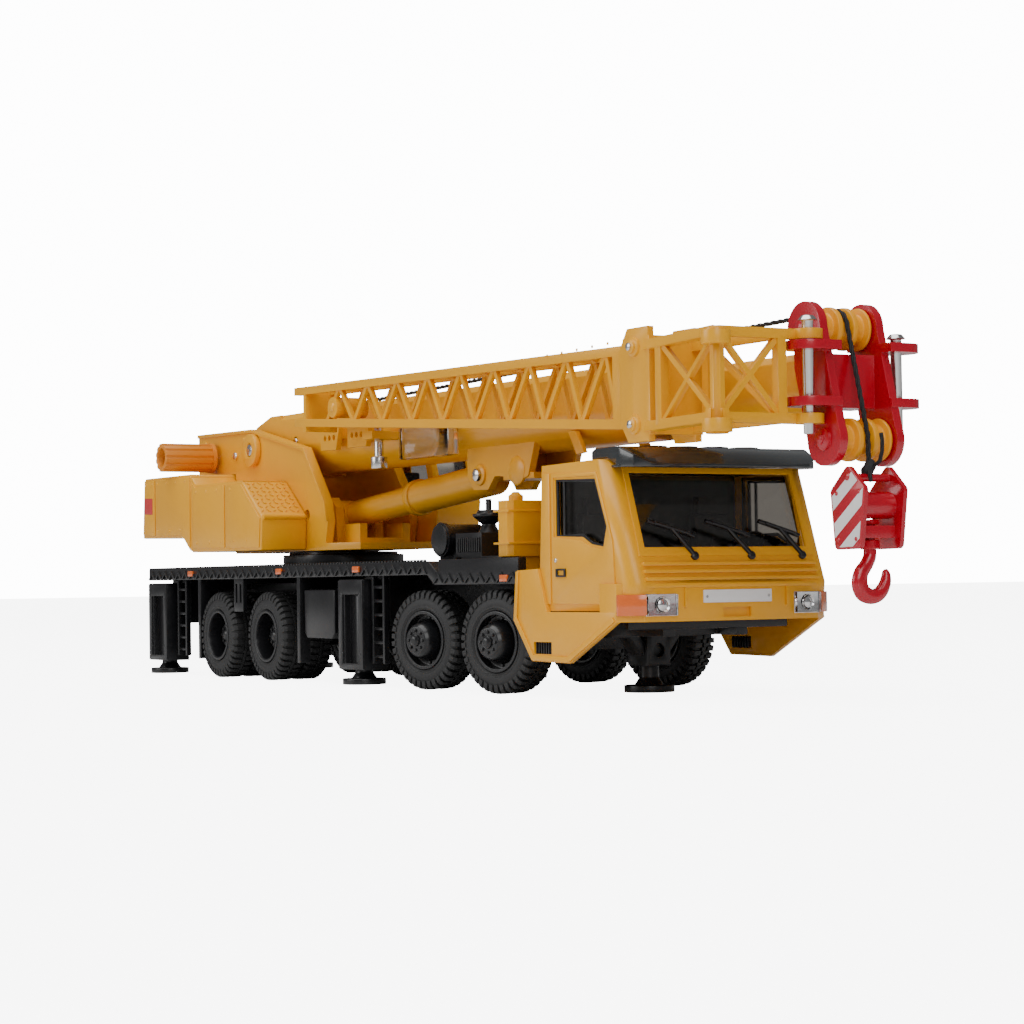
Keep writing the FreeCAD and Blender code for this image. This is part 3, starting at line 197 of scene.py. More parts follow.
def grain_group():
    tree, enter, leave = new_group("Fine grain",
                                   [("Scale", "NodeSocketFloat", 900.0),
                                    ("Depth", "NodeSocketFloat", 0.1)],
                                   [("Height", "NodeSocketFloat"), ("Mottle", "NodeSocketFloat")])
    place = tree.nodes.new("ShaderNodeTexCoord")
    noise = tree.nodes.new("ShaderNodeTexNoise")
    noise.inputs["Detail"].default_value = 5.0
    broad = tree.nodes.new("ShaderNodeTexNoise")
    broad.inputs["Scale"].default_value = 60.0
    broad.inputs["Detail"].default_value = 3.0
    times = tree.nodes.new("ShaderNodeMath")
    times.operation = "MULTIPLY"
    link = tree.links.new
    link(place.outputs["Object"], noise.inputs["Vector"])
    link(place.outputs["Object"], broad.inputs["Vector"])
    link(enter.outputs["Scale"], noise.inputs["Scale"])
    link(noise.outputs["Fac"], times.inputs[0])
    link(enter.outputs["Depth"], times.inputs[1])
    link(times.outputs[0], leave.inputs["Height"])
    link(broad.outputs["Fac"], leave.inputs["Mottle"])
    return tree


def edge_group():
    tree, enter, leave = new_group("Edge mask", [("Reach", "NodeSocketFloat", 0.0004)],
                                   [("Edge", "NodeSocketFloat")])
    bevel = tree.nodes.new("ShaderNodeBevel")
    bevel.samples = 4
    plain = tree.nodes.new("ShaderNodeNewGeometry")
    dot = tree.nodes.new("ShaderNodeVectorMath")
    dot.operation = "DOT_PRODUCT"
    spread = tree.nodes.new("ShaderNodeMapRange")
    spread.inputs["From Min"].default_value = 0.995
    spread.inputs["From Max"].default_value = 0.86
    link = tree.links.new
    link(enter.outputs["Reach"], bevel.inputs["Radius"])
    link(bevel.outputs["Normal"], dot.inputs[0])
    link(plain.outputs["Normal"], dot.inputs[1])
    link(dot.outputs["Value"], spread.inputs["Value"])
    link(spread.outputs["Result"], leave.inputs["Edge"])
    return tree


GRAIN = grain_group()
EDGE = edge_group()
print("shader groups", GRAIN.name, EDGE.name)

# %% [markdown]
# One recipe makes every finish: a base colour that varies softly between two
# tones, a roughness that varies with it, a lighter worn tone on edges, and a
# fine bump. Each finish then differs only in its numbers, so the toy looks
# painted by one workshop.

# %% Finishes
def finish(name, dark, light, rough=(0.3, 0.4), metal=0.0, coat=0.0, scale=900.0, bump=0.05, edge=None,
           edge_amount=0.5):
    material = bpy.data.materials.new(name)
    material.use_nodes = True
    tree = material.node_tree
    shader = tree.nodes["Principled BSDF"]
    shader.inputs["Metallic"].default_value = metal
    shader.inputs["Coat Weight"].default_value = coat
    shader.inputs["Coat Roughness"].default_value = 0.06
    grain = tree.nodes.new("ShaderNodeGroup")
    grain.node_tree = GRAIN
    grain.inputs["Scale"].default_value = scale
    tones = tree.nodes.new("ShaderNodeMix")
    tones.data_type = "RGBA"
    tones.inputs[6].default_value = (*dark, 1)
    tones.inputs[7].default_value = (*light, 1)
    link = tree.links.new
    link(grain.outputs["Mottle"], tones.inputs[0])
    colour = tones.outputs[2]
    if edge:
        mask = tree.nodes.new("ShaderNodeGroup")
        mask.node_tree = EDGE
        weak = tree.nodes.new("ShaderNodeMath")
        weak.operation = "MULTIPLY"
        weak.inputs[1].default_value = edge_amount
        worn = tree.nodes.new("ShaderNodeMix")
        worn.data_type = "RGBA"
        worn.inputs[7].default_value = (*edge, 1)
        link(mask.outputs["Edge"], weak.inputs[0])
        link(weak.outputs[0], worn.inputs[0])
        link(colour, worn.inputs[6])
        colour = worn.outputs[2]
    link(colour, shader.inputs["Base Color"])
    span = tree.nodes.new("ShaderNodeMapRange")
    span.inputs["To Min"].default_value = rough[0]
    span.inputs["To Max"].default_value = rough[1]
    link(grain.outputs["Mottle"], span.inputs["Value"])
    link(span.outputs["Result"], shader.inputs["Roughness"])
    relief = tree.nodes.new("ShaderNodeBump")
    relief.inputs["Strength"].default_value = bump
    relief.inputs["Distance"].default_value = 0.0002
    grain.inputs["Depth"].default_value = 1.0
    link(grain.outputs["Height"], relief.inputs["Height"])
    link(relief.outputs["Normal"], shader.inputs["Normal"])
    return material


def clear(name, tint, rough=0.03):
    material = finish(name, tint, tint, (rough, rough + 0.02), scale=300, bump=0.02)
    shader = material.node_tree.nodes["Principled BSDF"]
    shader.inputs["Transmission Weight"].default_value = 1.0
    shader.inputs["IOR"].default_value = 1.45
    return material


YELLOW = finish("crane yellow paint", (0.80, 0.36, 0.0), (0.86, 0.40, 0.001), (0.3, 0.4), coat=0.15,
                scale=500, bump=0.06, edge=(0.9, 0.46, 0.01), edge_amount=0.3)
KNOB = finish("orange yellow plastic", (0.66, 0.21, 0.006), (0.72, 0.25, 0.01), (0.38, 0.5), scale=800,
              bump=0.08)
SHEAVE = finish("sheave yellow plastic", (0.84, 0.34, 0.003), (0.9, 0.38, 0.005), (0.3, 0.42), scale=700,
                bump=0.05)
BLACK = finish("black chassis plastic", (0.004, 0.004, 0.005), (0.008, 0.008, 0.009), (0.24, 0.34),
               scale=1400, bump=0.1, edge=(0.03, 0.03, 0.032), edge_amount=0.4)
RUBBER = finish("tyre rubber", (0.007, 0.007, 0.0075), (0.013, 0.013, 0.0135), (0.5, 0.64), scale=1800,
                bump=0.2, edge=(0.022, 0.022, 0.022), edge_amount=0.4)
RED = finish("red enamel", (0.42, 0.0, 0.012), (0.50, 0.001, 0.016), (0.2, 0.3), coat=0.4, scale=420,
             bump=0.05, edge=(0.6, 0.01, 0.03), edge_amount=0.3)
VISOR = finish("dark grey visor", (0.022, 0.027, 0.03), (0.03, 0.035, 0.038), (0.16, 0.26), coat=0.5,
               scale=700, bump=0.04)
CHROME = finish("bright steel", (0.62, 0.61, 0.59), (0.72, 0.71, 0.69), (0.14, 0.26), metal=1.0, scale=900,
                bump=0.04)
# Grey interior plastic; on the dark sheets inside the cab it is painted shade.
INTERIOR_GREY_AND_SHADE = finish("interior grey plastic and painted cab shade", (0.02, 0.02, 0.022), (0.035, 0.035, 0.037), (0.45, 0.6), scale=1200,
              bump=0.15)
WHITE = finish("white print", (0.78, 0.78, 0.77), (0.84, 0.84, 0.83), (0.3, 0.4), scale=900, bump=0.03)
PRINT_RED = finish("red print", (0.52, 0.03, 0.03), (0.58, 0.045, 0.04), (0.35, 0.45), scale=900, bump=0.03)
AMBER = finish("amber lens", (0.72, 0.13, 0.02), (0.8, 0.17, 0.03), (0.12, 0.2), coat=0.6, scale=600,
               bump=0.1)
CORD = finish("black braided cord", (0.010, 0.010, 0.011), (0.02, 0.02, 0.021), (0.7, 0.85), scale=3000,
              bump=0.3)
GLASS = clear("cab glazing", (0.86, 0.82, 0.76))
LENS = clear("lamp lens", (0.95, 0.95, 0.95), 0.05)
REFLECTOR = finish("lamp reflector", (0.8, 0.8, 0.8), (0.9, 0.9, 0.9), (0.08, 0.16), metal=1.0, scale=500,
                   bump=0.1)
print("finishes", len(bpy.data.materials))

# %% [markdown]
# Most castings keep the form that the design gives them. A copy of each is
# welded and its sharp edges are bevelled, as a mould with rounded corners
# would cast it. The copy then stands for the plain part.

# %% Softened castings
BODY_OF = {node: body for body, group in frame["record"]["behaviour"]["bodies"].items() for node in group}


def soften(node, material, bevel):
    mesh = nodes[node].data.copy()
    finish_mesh(mesh, bevel)
    piece(node + "_cast", [mesh], material, BODY_OF[node], [node])


CASTINGS = {
    YELLOW: ["operator_cab", "lift_rod", "lift_sleeve", "boom_mid", "boom_tip"],
    BLACK: ["chassis_frame", "deck", "slew_ring", "engine_group", "side_boxes", "front_jack"]
    + [n for n in nodes if n.split("_")[0] in ("knuckle", "jack")],
    SHEAVE: ["top_sheaves", "low_sheaves"], INTERIOR_GREY_AND_SHADE: ["cab_interior"],
    CHROME: ["superstructure_pins", "winch_drum", "head_pins", "jib_stow_pin"],
}
BEVELS = {"deck": 0.15}
for material, group in CASTINGS.items():
    for node in group:
        soften(node, material, BEVELS.get(node, 0.2))
piece("cab_panes", [nodes["cab_glass"].data.copy()], GLASS, "chassis", ["cab_glass"])

# %% [markdown]
# A toy has many small things that repeat: tread blocks, bolts, rivets, studs
# on a tread plate and the ribs along the deck's edge. One Geometry Nodes tree
# makes all but the rivets. It places copies of a piece along a step, and turns
# each one a little further about an axis, so it draws rows and rings alike.

# %% The repeating tree
def repeat_tree():
    tree = bpy.data.node_groups.new("Repeat a piece", "GeometryNodeTree")
    face = tree.interface
    face.new_socket(name="Piece", in_out="INPUT", socket_type="NodeSocketGeometry")
    for label, kind in (("Count", "Int"), ("Step", "Vector"), ("Axis", "Vector"), ("Turn", "Float"),
                        ("Finish", "Material")):
        face.new_socket(name=label, in_out="INPUT", socket_type="NodeSocket" + kind)
    face.new_socket(name="Geometry", in_out="OUTPUT", socket_type="NodeSocketGeometry")
    add, link = tree.nodes.new, tree.links.new
    enter, leave = add("NodeGroupInput"), add("NodeGroupOutput")
    points, index = add("GeometryNodePoints"), add("GeometryNodeInputIndex")
    along = add("ShaderNodeVectorMath")
    along.operation = "SCALE"
    angle = add("ShaderNodeMath")
    angle.operation = "MULTIPLY"
    turn, copies = add("FunctionNodeAxisAngleToRotation"), add("GeometryNodeInstanceOnPoints")
    real, paint = add("GeometryNodeRealizeInstances"), add("GeometryNodeSetMaterial")
    link(enter.outputs["Count"], points.inputs["Count"])
    link(enter.outputs["Step"], along.inputs["Vector"])
    link(index.outputs[0], along.inputs["Scale"])
    link(along.outputs["Vector"], points.inputs["Position"])
    link(enter.outputs["Turn"], angle.inputs[0])
    link(index.outputs[0], angle.inputs[1])
    link(enter.outputs["Axis"], turn.inputs["Axis"])
    link(angle.outputs[0], turn.inputs["Angle"])
    link(points.outputs[0], copies.inputs["Points"])
    link(enter.outputs["Piece"], copies.inputs["Instance"])
    link(turn.outputs[0], copies.inputs["Rotation"])
    link(copies.outputs[0], real.inputs[0])
    link(real.outputs[0], paint.inputs["Geometry"])
    link(enter.outputs["Finish"], paint.inputs["Material"])
    link(paint.outputs[0], leave.inputs[0])
    return tree


REPEAT = repeat_tree()
SOCKET = {item.name: item.identifier for item in REPEAT.interface.items_tree if item.in_out == "INPUT"}


def repeated(mesh, count, step=(0, 0, 0), axis=(0, 1, 0), turn=0.0):
    """Copies of a mesh along a step in millimetres, each turned further about an axis, as one plain mesh."""
    holder = bpy.data.objects.new("holder", mesh)
    bpy.context.scene.collection.objects.link(holder)
    modifier = holder.modifiers.new("Repeat", "NODES")
    modifier.node_group = REPEAT
    values = {"Count": count, "Step": tuple(MM * c for c in step), "Axis": axis, "Turn": turn,
              "Finish": BLACK}
    for label, value in values.items():
        modifier[SOCKET[label]] = value
    bpy.context.view_layer.update()
    made = bpy.data.meshes.new_from_object(holder.evaluated_get(bpy.context.evaluated_depsgraph_get()))
    holder.modifiers.remove(modifier)
    bpy.data.objects.remove(holder)
    return made


def ring_of(mesh, count, axis=(0, 1, 0)):
    return repeated(mesh, count, axis=axis, turn=2 * math.pi / count)


def shift(x, y, z):
    return Matrix.Translation(Vector((x, y, z)) * MM)


print("repeat inputs", sorted(SOCKET))

# %% [markdown]
# Sheets with holes are drawn as a flat curve: the first outline is the edge
# and each further one is a hole. The curve's own thickness and bevel make a
# clean cut sheet, which then becomes a mesh and is stood up in its plane.

# %% Sheets with holes
STAND = {"XZ": Matrix(((1, 0, 0, 0), (0, 0, -1, 0), (0, 1, 0, 0), (0, 0, 0, 1))),
         "YZ": Matrix(((0, 0, 1, 0), (1, 0, 0, 0), (0, 1, 0, 0), (0, 0, 0, 1))),
         "XY": Matrix.Identity(4)}


def cut_sheet(outlines, plane, centre, depth, bevel=0.12):
    """centre is the sheet's middle along the third axis."""
    curve = bpy.data.curves.new("sheet", "CURVE")
    curve.dimensions = "2D"
    curve.fill_mode = "BOTH"
    curve.extrude = max(depth / 2 - bevel, 0.01) * MM
    curve.bevel_depth = bevel * MM
    curve.offset = -bevel * MM
    curve.bevel_resolution = 1
    for points in outlines:
        spline = curve.splines.new("POLY")
        spline.points.add(len(points) - 1)
        for point, (a, b) in zip(spline.points, points):
            point.co = (a * MM, b * MM, 0, 1)
        spline.use_cyclic_u = True
    holder = bpy.data.objects.new("holder", curve)
    mesh = bpy.data.meshes.new_from_object(holder)
    bpy.data.objects.remove(holder)
    offset = {"XZ": (0, centre, 0), "YZ": (centre, 0, 0), "XY": (0, 0, centre)}[plane]
    mesh.transform(shift(*offset) @ STAND[plane])
    return finish_mesh(mesh)


def circle(x, y, radius, steps=20):
    return [(x + radius * math.cos(2 * math.pi * i / steps), y + radius * math.sin(2 * math.pi * i / steps))
            for i in range(steps)]


def rivet(radius=0.45, high=0.3):
    """A round head at the origin, pointing to -Y."""
    return lathe([(0, radius), (high * 0.6, radius * 0.85), (high, radius * 0.35)], (0, 0, 0), (0, -1, 0),
                 10)


def rivets(spots, y, radius=0.45, high=0.3):
    return [moved(rivet(radius, high), shift(x, y, z)) for x, z in spots]


# %% [markdown]
# The tyres carry deep shoulder blocks with a smaller row between them. The
# carcass is turned, and the blocks are a ring of copies. A wheel is made on
# its own, with its axle along Y, and then put on its hub.

# %% Tyres and hubs
def tyre_parts(wide):
    half = wide / 2
    carcass = lathe([(-half + 0.5, 6.95), (-half + 0.1, 7.4), (-half, 8.6), (-half + 0.25, 9.9),
                     (-half + 0.9, 10.9), (-half + 2.2, 11.25), (half - 2.2, 11.25), (half - 0.9, 10.9),
                     (half - 0.25, 9.9), (half, 8.6), (half - 0.1, 7.4), (half - 0.5, 6.95)], (0, 0, 0),
                    (0, 1, 0), 72, ring=True)
    bead = lathe([(half - 0.25, 7.3), (half + 0.05, 7.6), (half + 0.05, 7.9), (half - 0.2, 8.2)],
                 (0, 0, 0), (0, 1, 0), 60, ring=True)
    block_side = [(half - 2.9, 10.9), (half - 2.9, 11.76), (half - 0.8, 11.7), (half - 0.1, 11.0),
                  (half, 9.7), (half - 0.5, 9.7)]
    lug = outline_sheet(block_side, "YZ", -0.56, 1.12, 0.1)
    inner = outline_sheet([(-0.4, 10.9), (-0.4, 11.7), (half - 3.1, 11.7), (half - 3.1, 10.9)], "YZ",
                          -0.45, 0.9, 0.08)
    count = 38
    half_pitch = Matrix.Rotation(math.pi / count, 4, "Y")
    outer, middle = ring_of(lug, count), ring_of(inner, count)
    rings = [outer, moved(mirrored(outer), half_pitch), moved(middle, half_pitch), mirrored(middle)]
    return [carcass, bead, mirrored(bead), *rings]


def hub_bolts(face, radius):
    """Wheel bolts and a cap on the hub's outer face."""
    bolt = bar((0, face - 0.2, radius), (0, face + 0.55, radius), 0.42, 6, 0.08)
    cap = lathe([(face - 0.2, 1.5), (face + 0.5, 1.45), (face + 0.9, 1.0), (face + 1.0, 0.5)], (0, 0, 0),
                (0, 1, 0), 24)
    return [ring_of(bolt, 8), cap]


def to_hub(centre, out):
    """Moves a wheel from the workbench to its hub; out is the direction of its outer face."""
    turn = Vector((0, 1, 0)).rotation_difference(Vector(out)).to_matrix().to_4x4()
    return shift(*centre) @ turn


TOE = math.radians(14)
front_tyre = tyre_parts(8.0)
front_bolts = hub_bolts(6.2, 2.35)
rim_dish = [ring_of(bar((0, 1.2, 5.3), (0, 2.0, 5.3), 0.4, 6, 0.08), 8)]
for row, x in (("first", 123.8), ("second", 90.3)):
    for side_name, side in (("left", 1), ("right", -1)):
        out = (-side * math.sin(TOE), side * math.cos(TOE), 0)
        place = to_hub((x + 6.6 * out[0], 16.5 * side + 6.6 * out[1], 11.76), out)
        body = f"wheel_{row}_{side_name}"
        piece(f"tyre_{row}_{side_name}_treaded", [moved(m, place) for m in front_tyre], RUBBER, body,
              [f"tyre_{row}_{side_name}"])
        rim = nodes[f"rim_{row}_{side_name}"].data.copy()
        finish_mesh(rim, 0.15)
        piece(f"rim_{row}_{side_name}_bolted", [rim, *[moved(m, place) for m in front_bolts + rim_dish]],
              BLACK, body, [f"rim_{row}_{side_name}"])

rear_tyre = tyre_parts(7.0)
rear_bolts = hub_bolts(24.1, 2.3)
for row, x in (("first", -24.1), ("second", 6.9)):
    tyres, hubs = [], []
    for side in (1, -1):
        for middle in (23.5, 16.1):
            place = to_hub((x, side * middle, 11.76), (0, side, 0))
            tyres += [moved(m, place) for m in rear_tyre]
        hubs += [moved(m, to_hub((x, 0, 11.76), (0, side, 0))) for m in rear_bolts]
    piece(f"tyres_rear_{row}_treaded", tyres, RUBBER, f"rear_axle_{row}", [f"tyres_rear_{row}"])
    wheelset = nodes[f"wheelset_rear_{row}"].data.copy()
    finish_mesh(wheelset, 0.15)
    piece(f"wheelset_rear_{row}_bolted", [wheelset, *hubs], BLACK, f"rear_axle_{row}",
          [f"wheelset_rear_{row}"])

# %% [markdown]
# The deck's edge is trimmed with a row of small pointed ribs over a toothed
# top edge. One rib is two slanting bars, and the tree repeats it along the
# whole deck.

# %% Deck trim
def rib(high):
    points = [(0, 0), (2.4, high), (4.8, 0), (4.1, 0), (2.4, high - 0.95), (0.7, 0)]
    return outline_sheet(points, "XZ", -0.24, 0.48, 0.06)


def deck_trim():
    parts = []
    for side in (-1, 1):
        upper = repeated(rib(2.5), 35, (4.8, 0, 0))
        lower = repeated(rib(2.4), 8, (4.8, 0, 0))
        teeth = repeated(block((-0.45, -0.2, 0), (0.45, 0.2, 0.42), 0.06), 103, (1.63, 0, 0))
        parts += [moved(upper, shift(-73, 26.75 * side, 27.3)),
                  moved(lower, shift(98.2, 26.75 * side, 25.0))]
        parts += [moved(teeth, shift(-72.6, 26.35 * side, 30.3))]
    across = Matrix.Rotation(math.pi / 2, 4, "Z")
    parts.append(moved(repeated(rib(2.5), 11, (4.8, 0, 0)), shift(-73.45, -26.3, 27.3) @ across))
    return parts


def deck_tread(low, high, z, pitch=2.6):
    """Small raised bars on the deck's top, in two crossed directions."""
    stud = block((-0.75, -0.22, 0), (0.75, 0.22, 0.18), 0.05)
    columns = int((high[0] - low[0]) / pitch)
    lines = int((high[1] - low[1]) / pitch)
    row_a = repeated(moved(stud, Matrix.Rotation(math.radians(45), 4, "Z")), columns, (pitch, 0, 0))
    row_b = repeated(moved(stud, Matrix.Rotation(math.radians(-45), 4, "Z")), columns, (pitch, 0, 0))
    grid_a = repeated(row_a, (lines + 1) // 2, (0, 2 * pitch, 0))
    grid_b = repeated(row_b, lines // 2, (0, 2 * pitch, 0))
    return [moved(grid_a, shift(low[0] + 1, low[1] + 1, z)),
            moved(grid_b, shift(low[0] + 1 + pitch / 2, low[1] + 1 + pitch, z))]


piece("deck_edge_trim", deck_trim(), BLACK, "chassis")
tread = deck_tread((-72, -25), (-18, 25), 30.3) + deck_tread((18, -25), (84, 25), 30.3)
piece("deck_tread_studs", tread, BLACK, "chassis")

# %% [markdown]
# The counterweight is a stack of castings: flat panels with narrow gaps, a
# row of rivets above and below, and a red printed patch. The real patch
# carries lettering, so this one is left plain.

# %% Counterweight and tread plates
def weight_face(y, side):
    """Raised panels and rivets on one side face, at y."""
    sheets = [[(-75.6, 40.6), (-66.9, 40.0), (-66.9, 56.3), (-74.3, 56.3)],
              [(-66.2, 40.0), (-47.6, 39.9), (-42.6, 36.4), (-41.6, 36.4), (-41.6, 56.0), (-66.2, 56.2)]]
    low = y if side > 0 else y - 0.35
    parts = [outline_sheet(points, "XZ", low, 0.35, 0.14) for points in sheets]
    spots = [(x, 55.1) for x in (-73.0, -68.4, -64.6, -58.0, -51.4, -44.6)]
    spots += [(x, 41.3) for x in (-73.6, -68.4, -64.6, -56.0, -48.6)]
    heads = rivets(spots, -abs(y) - 0.3, 0.4, 0.25)
    return parts + [h if side < 0 else mirrored(h) for h in heads]


def rear_face():
    frame_sheet = cut_sheet([[(-26.4, 40.2), (26.4, 40.2), (26.4, 56.4), (-26.4, 56.4)],
                             [(-24.6, 42.0), (24.6, 42.0), (24.6, 54.6), (-24.6, 54.6)]], "YZ", 0, 0.5,
                            0.15)
    lean = Matrix.Rotation(math.atan2(1.8, 17.6), 4, "Y")
    return [moved(frame_sheet, shift(-75.75, 0, 48.2) @ lean @ shift(0, 0, -48.2))]


def tread_plate(length, width, pitch=1.75):
    """Diamond studs on a flat plate in the XY plane, from the origin."""
    stud = outline_sheet([(-0.8, 0), (0, -0.24), (0.8, 0), (0, 0.24)], "XY", 0, 0.26, 0.05)
    columns, lines = int(length / pitch), int(width / pitch)
    parts = []
    for phase, angle in ((0, 40), (1, -40)):
        row = repeated(moved(stud, Matrix.Rotation(math.radians(angle), 4, "Z")),
                       (columns + 1 - phase) // 2, (2 * pitch, 0, 0))
        even = repeated(row, (lines + 1) // 2, (0, 2 * pitch, 0))
        odd = repeated(row, lines // 2, (0, 2 * pitch, 0))
        parts.append(moved(even, shift(0.9 + phase * pitch, 0.9, 0)))
        parts.append(moved(odd, shift(0.9 + (1 - phase) * pitch, 0.9 + pitch, 0)))
    return parts


def sloped(parts, start, end, y):
    """Lays parts made in the XY plane on the slope from start to end (x, z)."""
    angle = math.atan2(start[1] - end[1], end[0] - start[0])
    return [moved(p, shift(start[0], y, start[1]) @ Matrix.Rotation(angle, 4, "Y")) for p in parts]


def box_covers():
    slope_long = math.hypot(12.3, 9.7)
    parts = sloped(tread_plate(slope_long - 0.6, 12.8), (-6.9, 53.35), (5.4, 43.65), -26.7)
    rail = bar((5.2, -26.6, 43.5), (5.2, -14.2, 43.5), 0.8)
    top = outline_sheet([(-38.0, -26.6), (-7.4, -26.6), (-7.4, -14.0), (-38.0, -14.0)], "XY", 53.35, 0.35,
                        0.12)
    panel = outline_sheet([(-39.9, 36.0), (-18.2, 35.7), (-18.2, 52.9), (-38.0, 53.0), (-39.9, 54.4)],
                          "XZ", -27.35, 0.35, 0.14)
    front = outline_sheet([(-17.4, 35.6), (3.9, 35.4), (4.6, 43.2), (-7.2, 52.6), (-17.4, 52.8)], "XZ",
                          -27.35, 0.35, 0.14)
    spots = [(x, 51.6) for x in (-37, -30, -23, -14)] + [(x, 37.4) for x in (-37, -28, -20, -12, -4)]
    studs = rivets(spots, -27.3, 0.4, 0.25)
    return parts + [rail, top, panel, front, *studs]


weight = nodes["counterweight"].data.copy()
finish_mesh(weight, 0.5)
piece("counterweight_panelled", [weight, *weight_face(-27.0, -1), *weight_face(27.0, 1), *rear_face()],
      YELLOW, "superstructure", ["counterweight"])
patch = [(-74.5, 46.6), (-68.3, 46.3), (-68.3, 51.0), (-74.2, 51.2)]
piece("weight_red_patch", [outline_sheet(patch, "XZ", -27.42, 0.08, 0.02)], PRINT_RED, "superstructure")
boxes = nodes["deck_boxes"].data.copy()
finish_mesh(boxes, 0.35)
piece("deck_boxes_covered", [boxes, *box_covers()], YELLOW, "superstructure", ["deck_boxes"])

# %% [markdown]
# The winch is wound by hand with a fluted knob. Its section is a circle whose
# radius dips twelve times, and its end is sunk, with a bright washer inside.

# %% Winch knob
def fluted_knob():
    steps = 144
    points = []
    for i in range(steps):
        angle = 2 * math.pi * i / steps
        dip = max(0.0, math.cos(12 * angle)) ** 0.6
        radius = 4.1 - 0.42 * dip
        points.append((-54 + radius * math.cos(angle), 62.2 + radius * math.sin(angle)))
    body = cut_sheet([points, circle(-54, 62.2, 2.7, 32)], "XZ", -22.7, 15.8, 0.25)
    core = lathe([(0, 3.2), (13.0, 3.2)], (-54, -15.0, 62.2), (0, -1, 0), 32)
    collar = lathe([(0, 3.4), (0.2, 4.3), (1.2, 4.3), (1.4, 3.8)], (-54, -14.6, 62.2), (0, -1, 0), 48)
    return [body, core, collar]


piece("winch_knob_fluted", fluted_knob(), KNOB, "winch", ["winch_knob"])
washer = cut_sheet([circle(-54, 62.2, 1.9, 28), circle(-54, 62.2, 0.8, 20)], "XZ", -28.2, 0.4, 0.08)
screw = lathe([(0, 1.1), (0.5, 1.0), (0.7, 0.6)], (-54, -28.2, 62.2), (0, -1, 0), 20)
piece("winch_washer", [washer, screw], CHROME, "winch")
coil = repeated(lathe([(-0.42, 3.75), (-0.2, 4.15), (0.2, 4.15), (0.42, 3.75)], (0, 0, 0), (0, 1, 0), 32),
                21, (0, 0.92, 0))
piece("winch_cord_coil", [moved(coil, shift(-54, -9.2, 62.2))], CORD, "winch")

# %% [markdown]
# The cab is one casting with glazing from inside. Raised door panels, window
# rims, a ribbed grille and a dark grip plate, painted shade for a sunk grip,
# are added on its faces; dark sheets inside the cab are painted shade too. The
# front leans, so its trim is made upright and tipped into the face.

# %% Cab trim
WINDOW = [(151.7, 47.0), (167.3, 46.6), (171.6, 36.4), (170.3, 32.2), (165.8, 32.8), (162.3, 34.4),
          (151.7, 34.8)]


def grown(points, by):
    """Moves an outline's corners away from its middle."""
    cx = sum(p[0] for p in points) / len(points)
    cz = sum(p[1] for p in points) / len(points)
    made = []
    for x, z in points:
        far = math.hypot(x - cx, z - cz)
        made.append((x + (x - cx) / far * by, z + (z - cz) / far * by))
    return made


def door_panels():
    door = [(150.3, 20.2), (150.3, 48.2), (168.2, 48.0), (174.0, 33.4), (174.6, 27.0), (174.9, 20.2)]
    post = [(145.6, 20.2), (145.6, 28.4), (146.6, 48.6), (149.6, 48.4), (149.6, 20.2)]
    sheets = [cut_sheet([door, grown(WINDOW, 0.7)], "XZ", -26.1, 0.5, 0.16),
              cut_sheet([post], "XZ", -26.1, 0.5, 0.16)]
    return sheets + [mirrored(s) for s in sheets]


def grip_shade_plates():
    """A sunk grip in the door: a dark plate with a bar across, its dark colour painted shade for the recess.
    """
    return [cut_sheet([[(152.2, 26.0), (156.0, 26.0), (156.0, 27.8), (152.2, 27.8)],
                       [(152.8, 26.4), (155.4, 26.4), (155.4, 27.4), (152.8, 27.4)]], "XZ", -26.45, 0.5,
                      0.1)]


def front_trim():
    """Ribs under the windscreen and its raised frame."""
    ribs = [block((180.1 - 0.62 * i, -22.4, 24.9 + 1.55 * i), (181.1 - 0.62 * i, 22.4, 25.7 + 1.55 * i),
                  0.25) for i in range(3)]
    screen = cut_sheet([[(-22.6, 29.9), (22.6, 29.9), (22.3, 50.4), (-22.3, 50.4)],
                        [(-20.9, 31.9), (20.9, 31.9), (20.9, 48.6), (-20.9, 48.6)]], "YZ", 0, 0.5, 0.15)
    lean = -math.atan2(6.4, 18.2)
    placed = moved(screen, shift(178.15, 0, 31.2) @ Matrix.Rotation(lean, 4, "Y") @ shift(0, 0, -31.2))
    return ribs + [placed]


shell = nodes["cab_shell"].data.copy()
finish_mesh(shell)
piece("cab_shell_trimmed", [shell, *door_panels(), *front_trim()], YELLOW, "chassis", ["cab_shell"])
# The dark grip plates are painted shade for the sunk grips in the doors.
piece("door_grip_shade_plates", grip_shade_plates() + [mirrored(h) for h in grip_shade_plates()], BLACK, "chassis")
lock = lathe([(0, 0.5), (0.25, 0.45), (0.35, 0.2)], (152.0, -26.3, 29.6), (0, -1, 0), 14)
piece("door_locks", [lock, mirrored(lock)], CHROME, "chassis")


def painted_cab_shade_sheets():
    """Dark sheets inside the cab on the roof, back wall and the sides below the glass: painted shade for the
    cab's shadowed inside.
    """
    parts = [block((149, -24.0, 48.2), (168.5, 24.0, 48.8), 0.1),
             block((148.2, -23.8, 21.8), (148.6, 23.8, 48.2), 0.1)]
    for side in (-1, 1):
        low, high = sorted((23.4 * side, 23.9 * side))
        parts.append(block((147.8, low, 21.8), (169.5, high, 31.2), 0.1))
    return parts


# Painted shade: dark sheets that darken the inside of the cab.
piece("cab_painted_shade_sheets", painted_cab_shade_sheets(), INTERIOR_GREY_AND_SHADE, "chassis")


def window_rims():
    rim = cut_sheet([grown(WINDOW, 0.15), grown(WINDOW, -0.75)], "XZ", -25.6, 0.5, 0.1)
    bar_upright = block((154.2, -25.75, 34.8), (154.9, -25.35, 46.8), 0.08)
    return [rim, bar_upright]


rims = window_rims()
piece("cab_window_rims", rims + [mirrored(r) for r in rims], BLACK, "chassis")

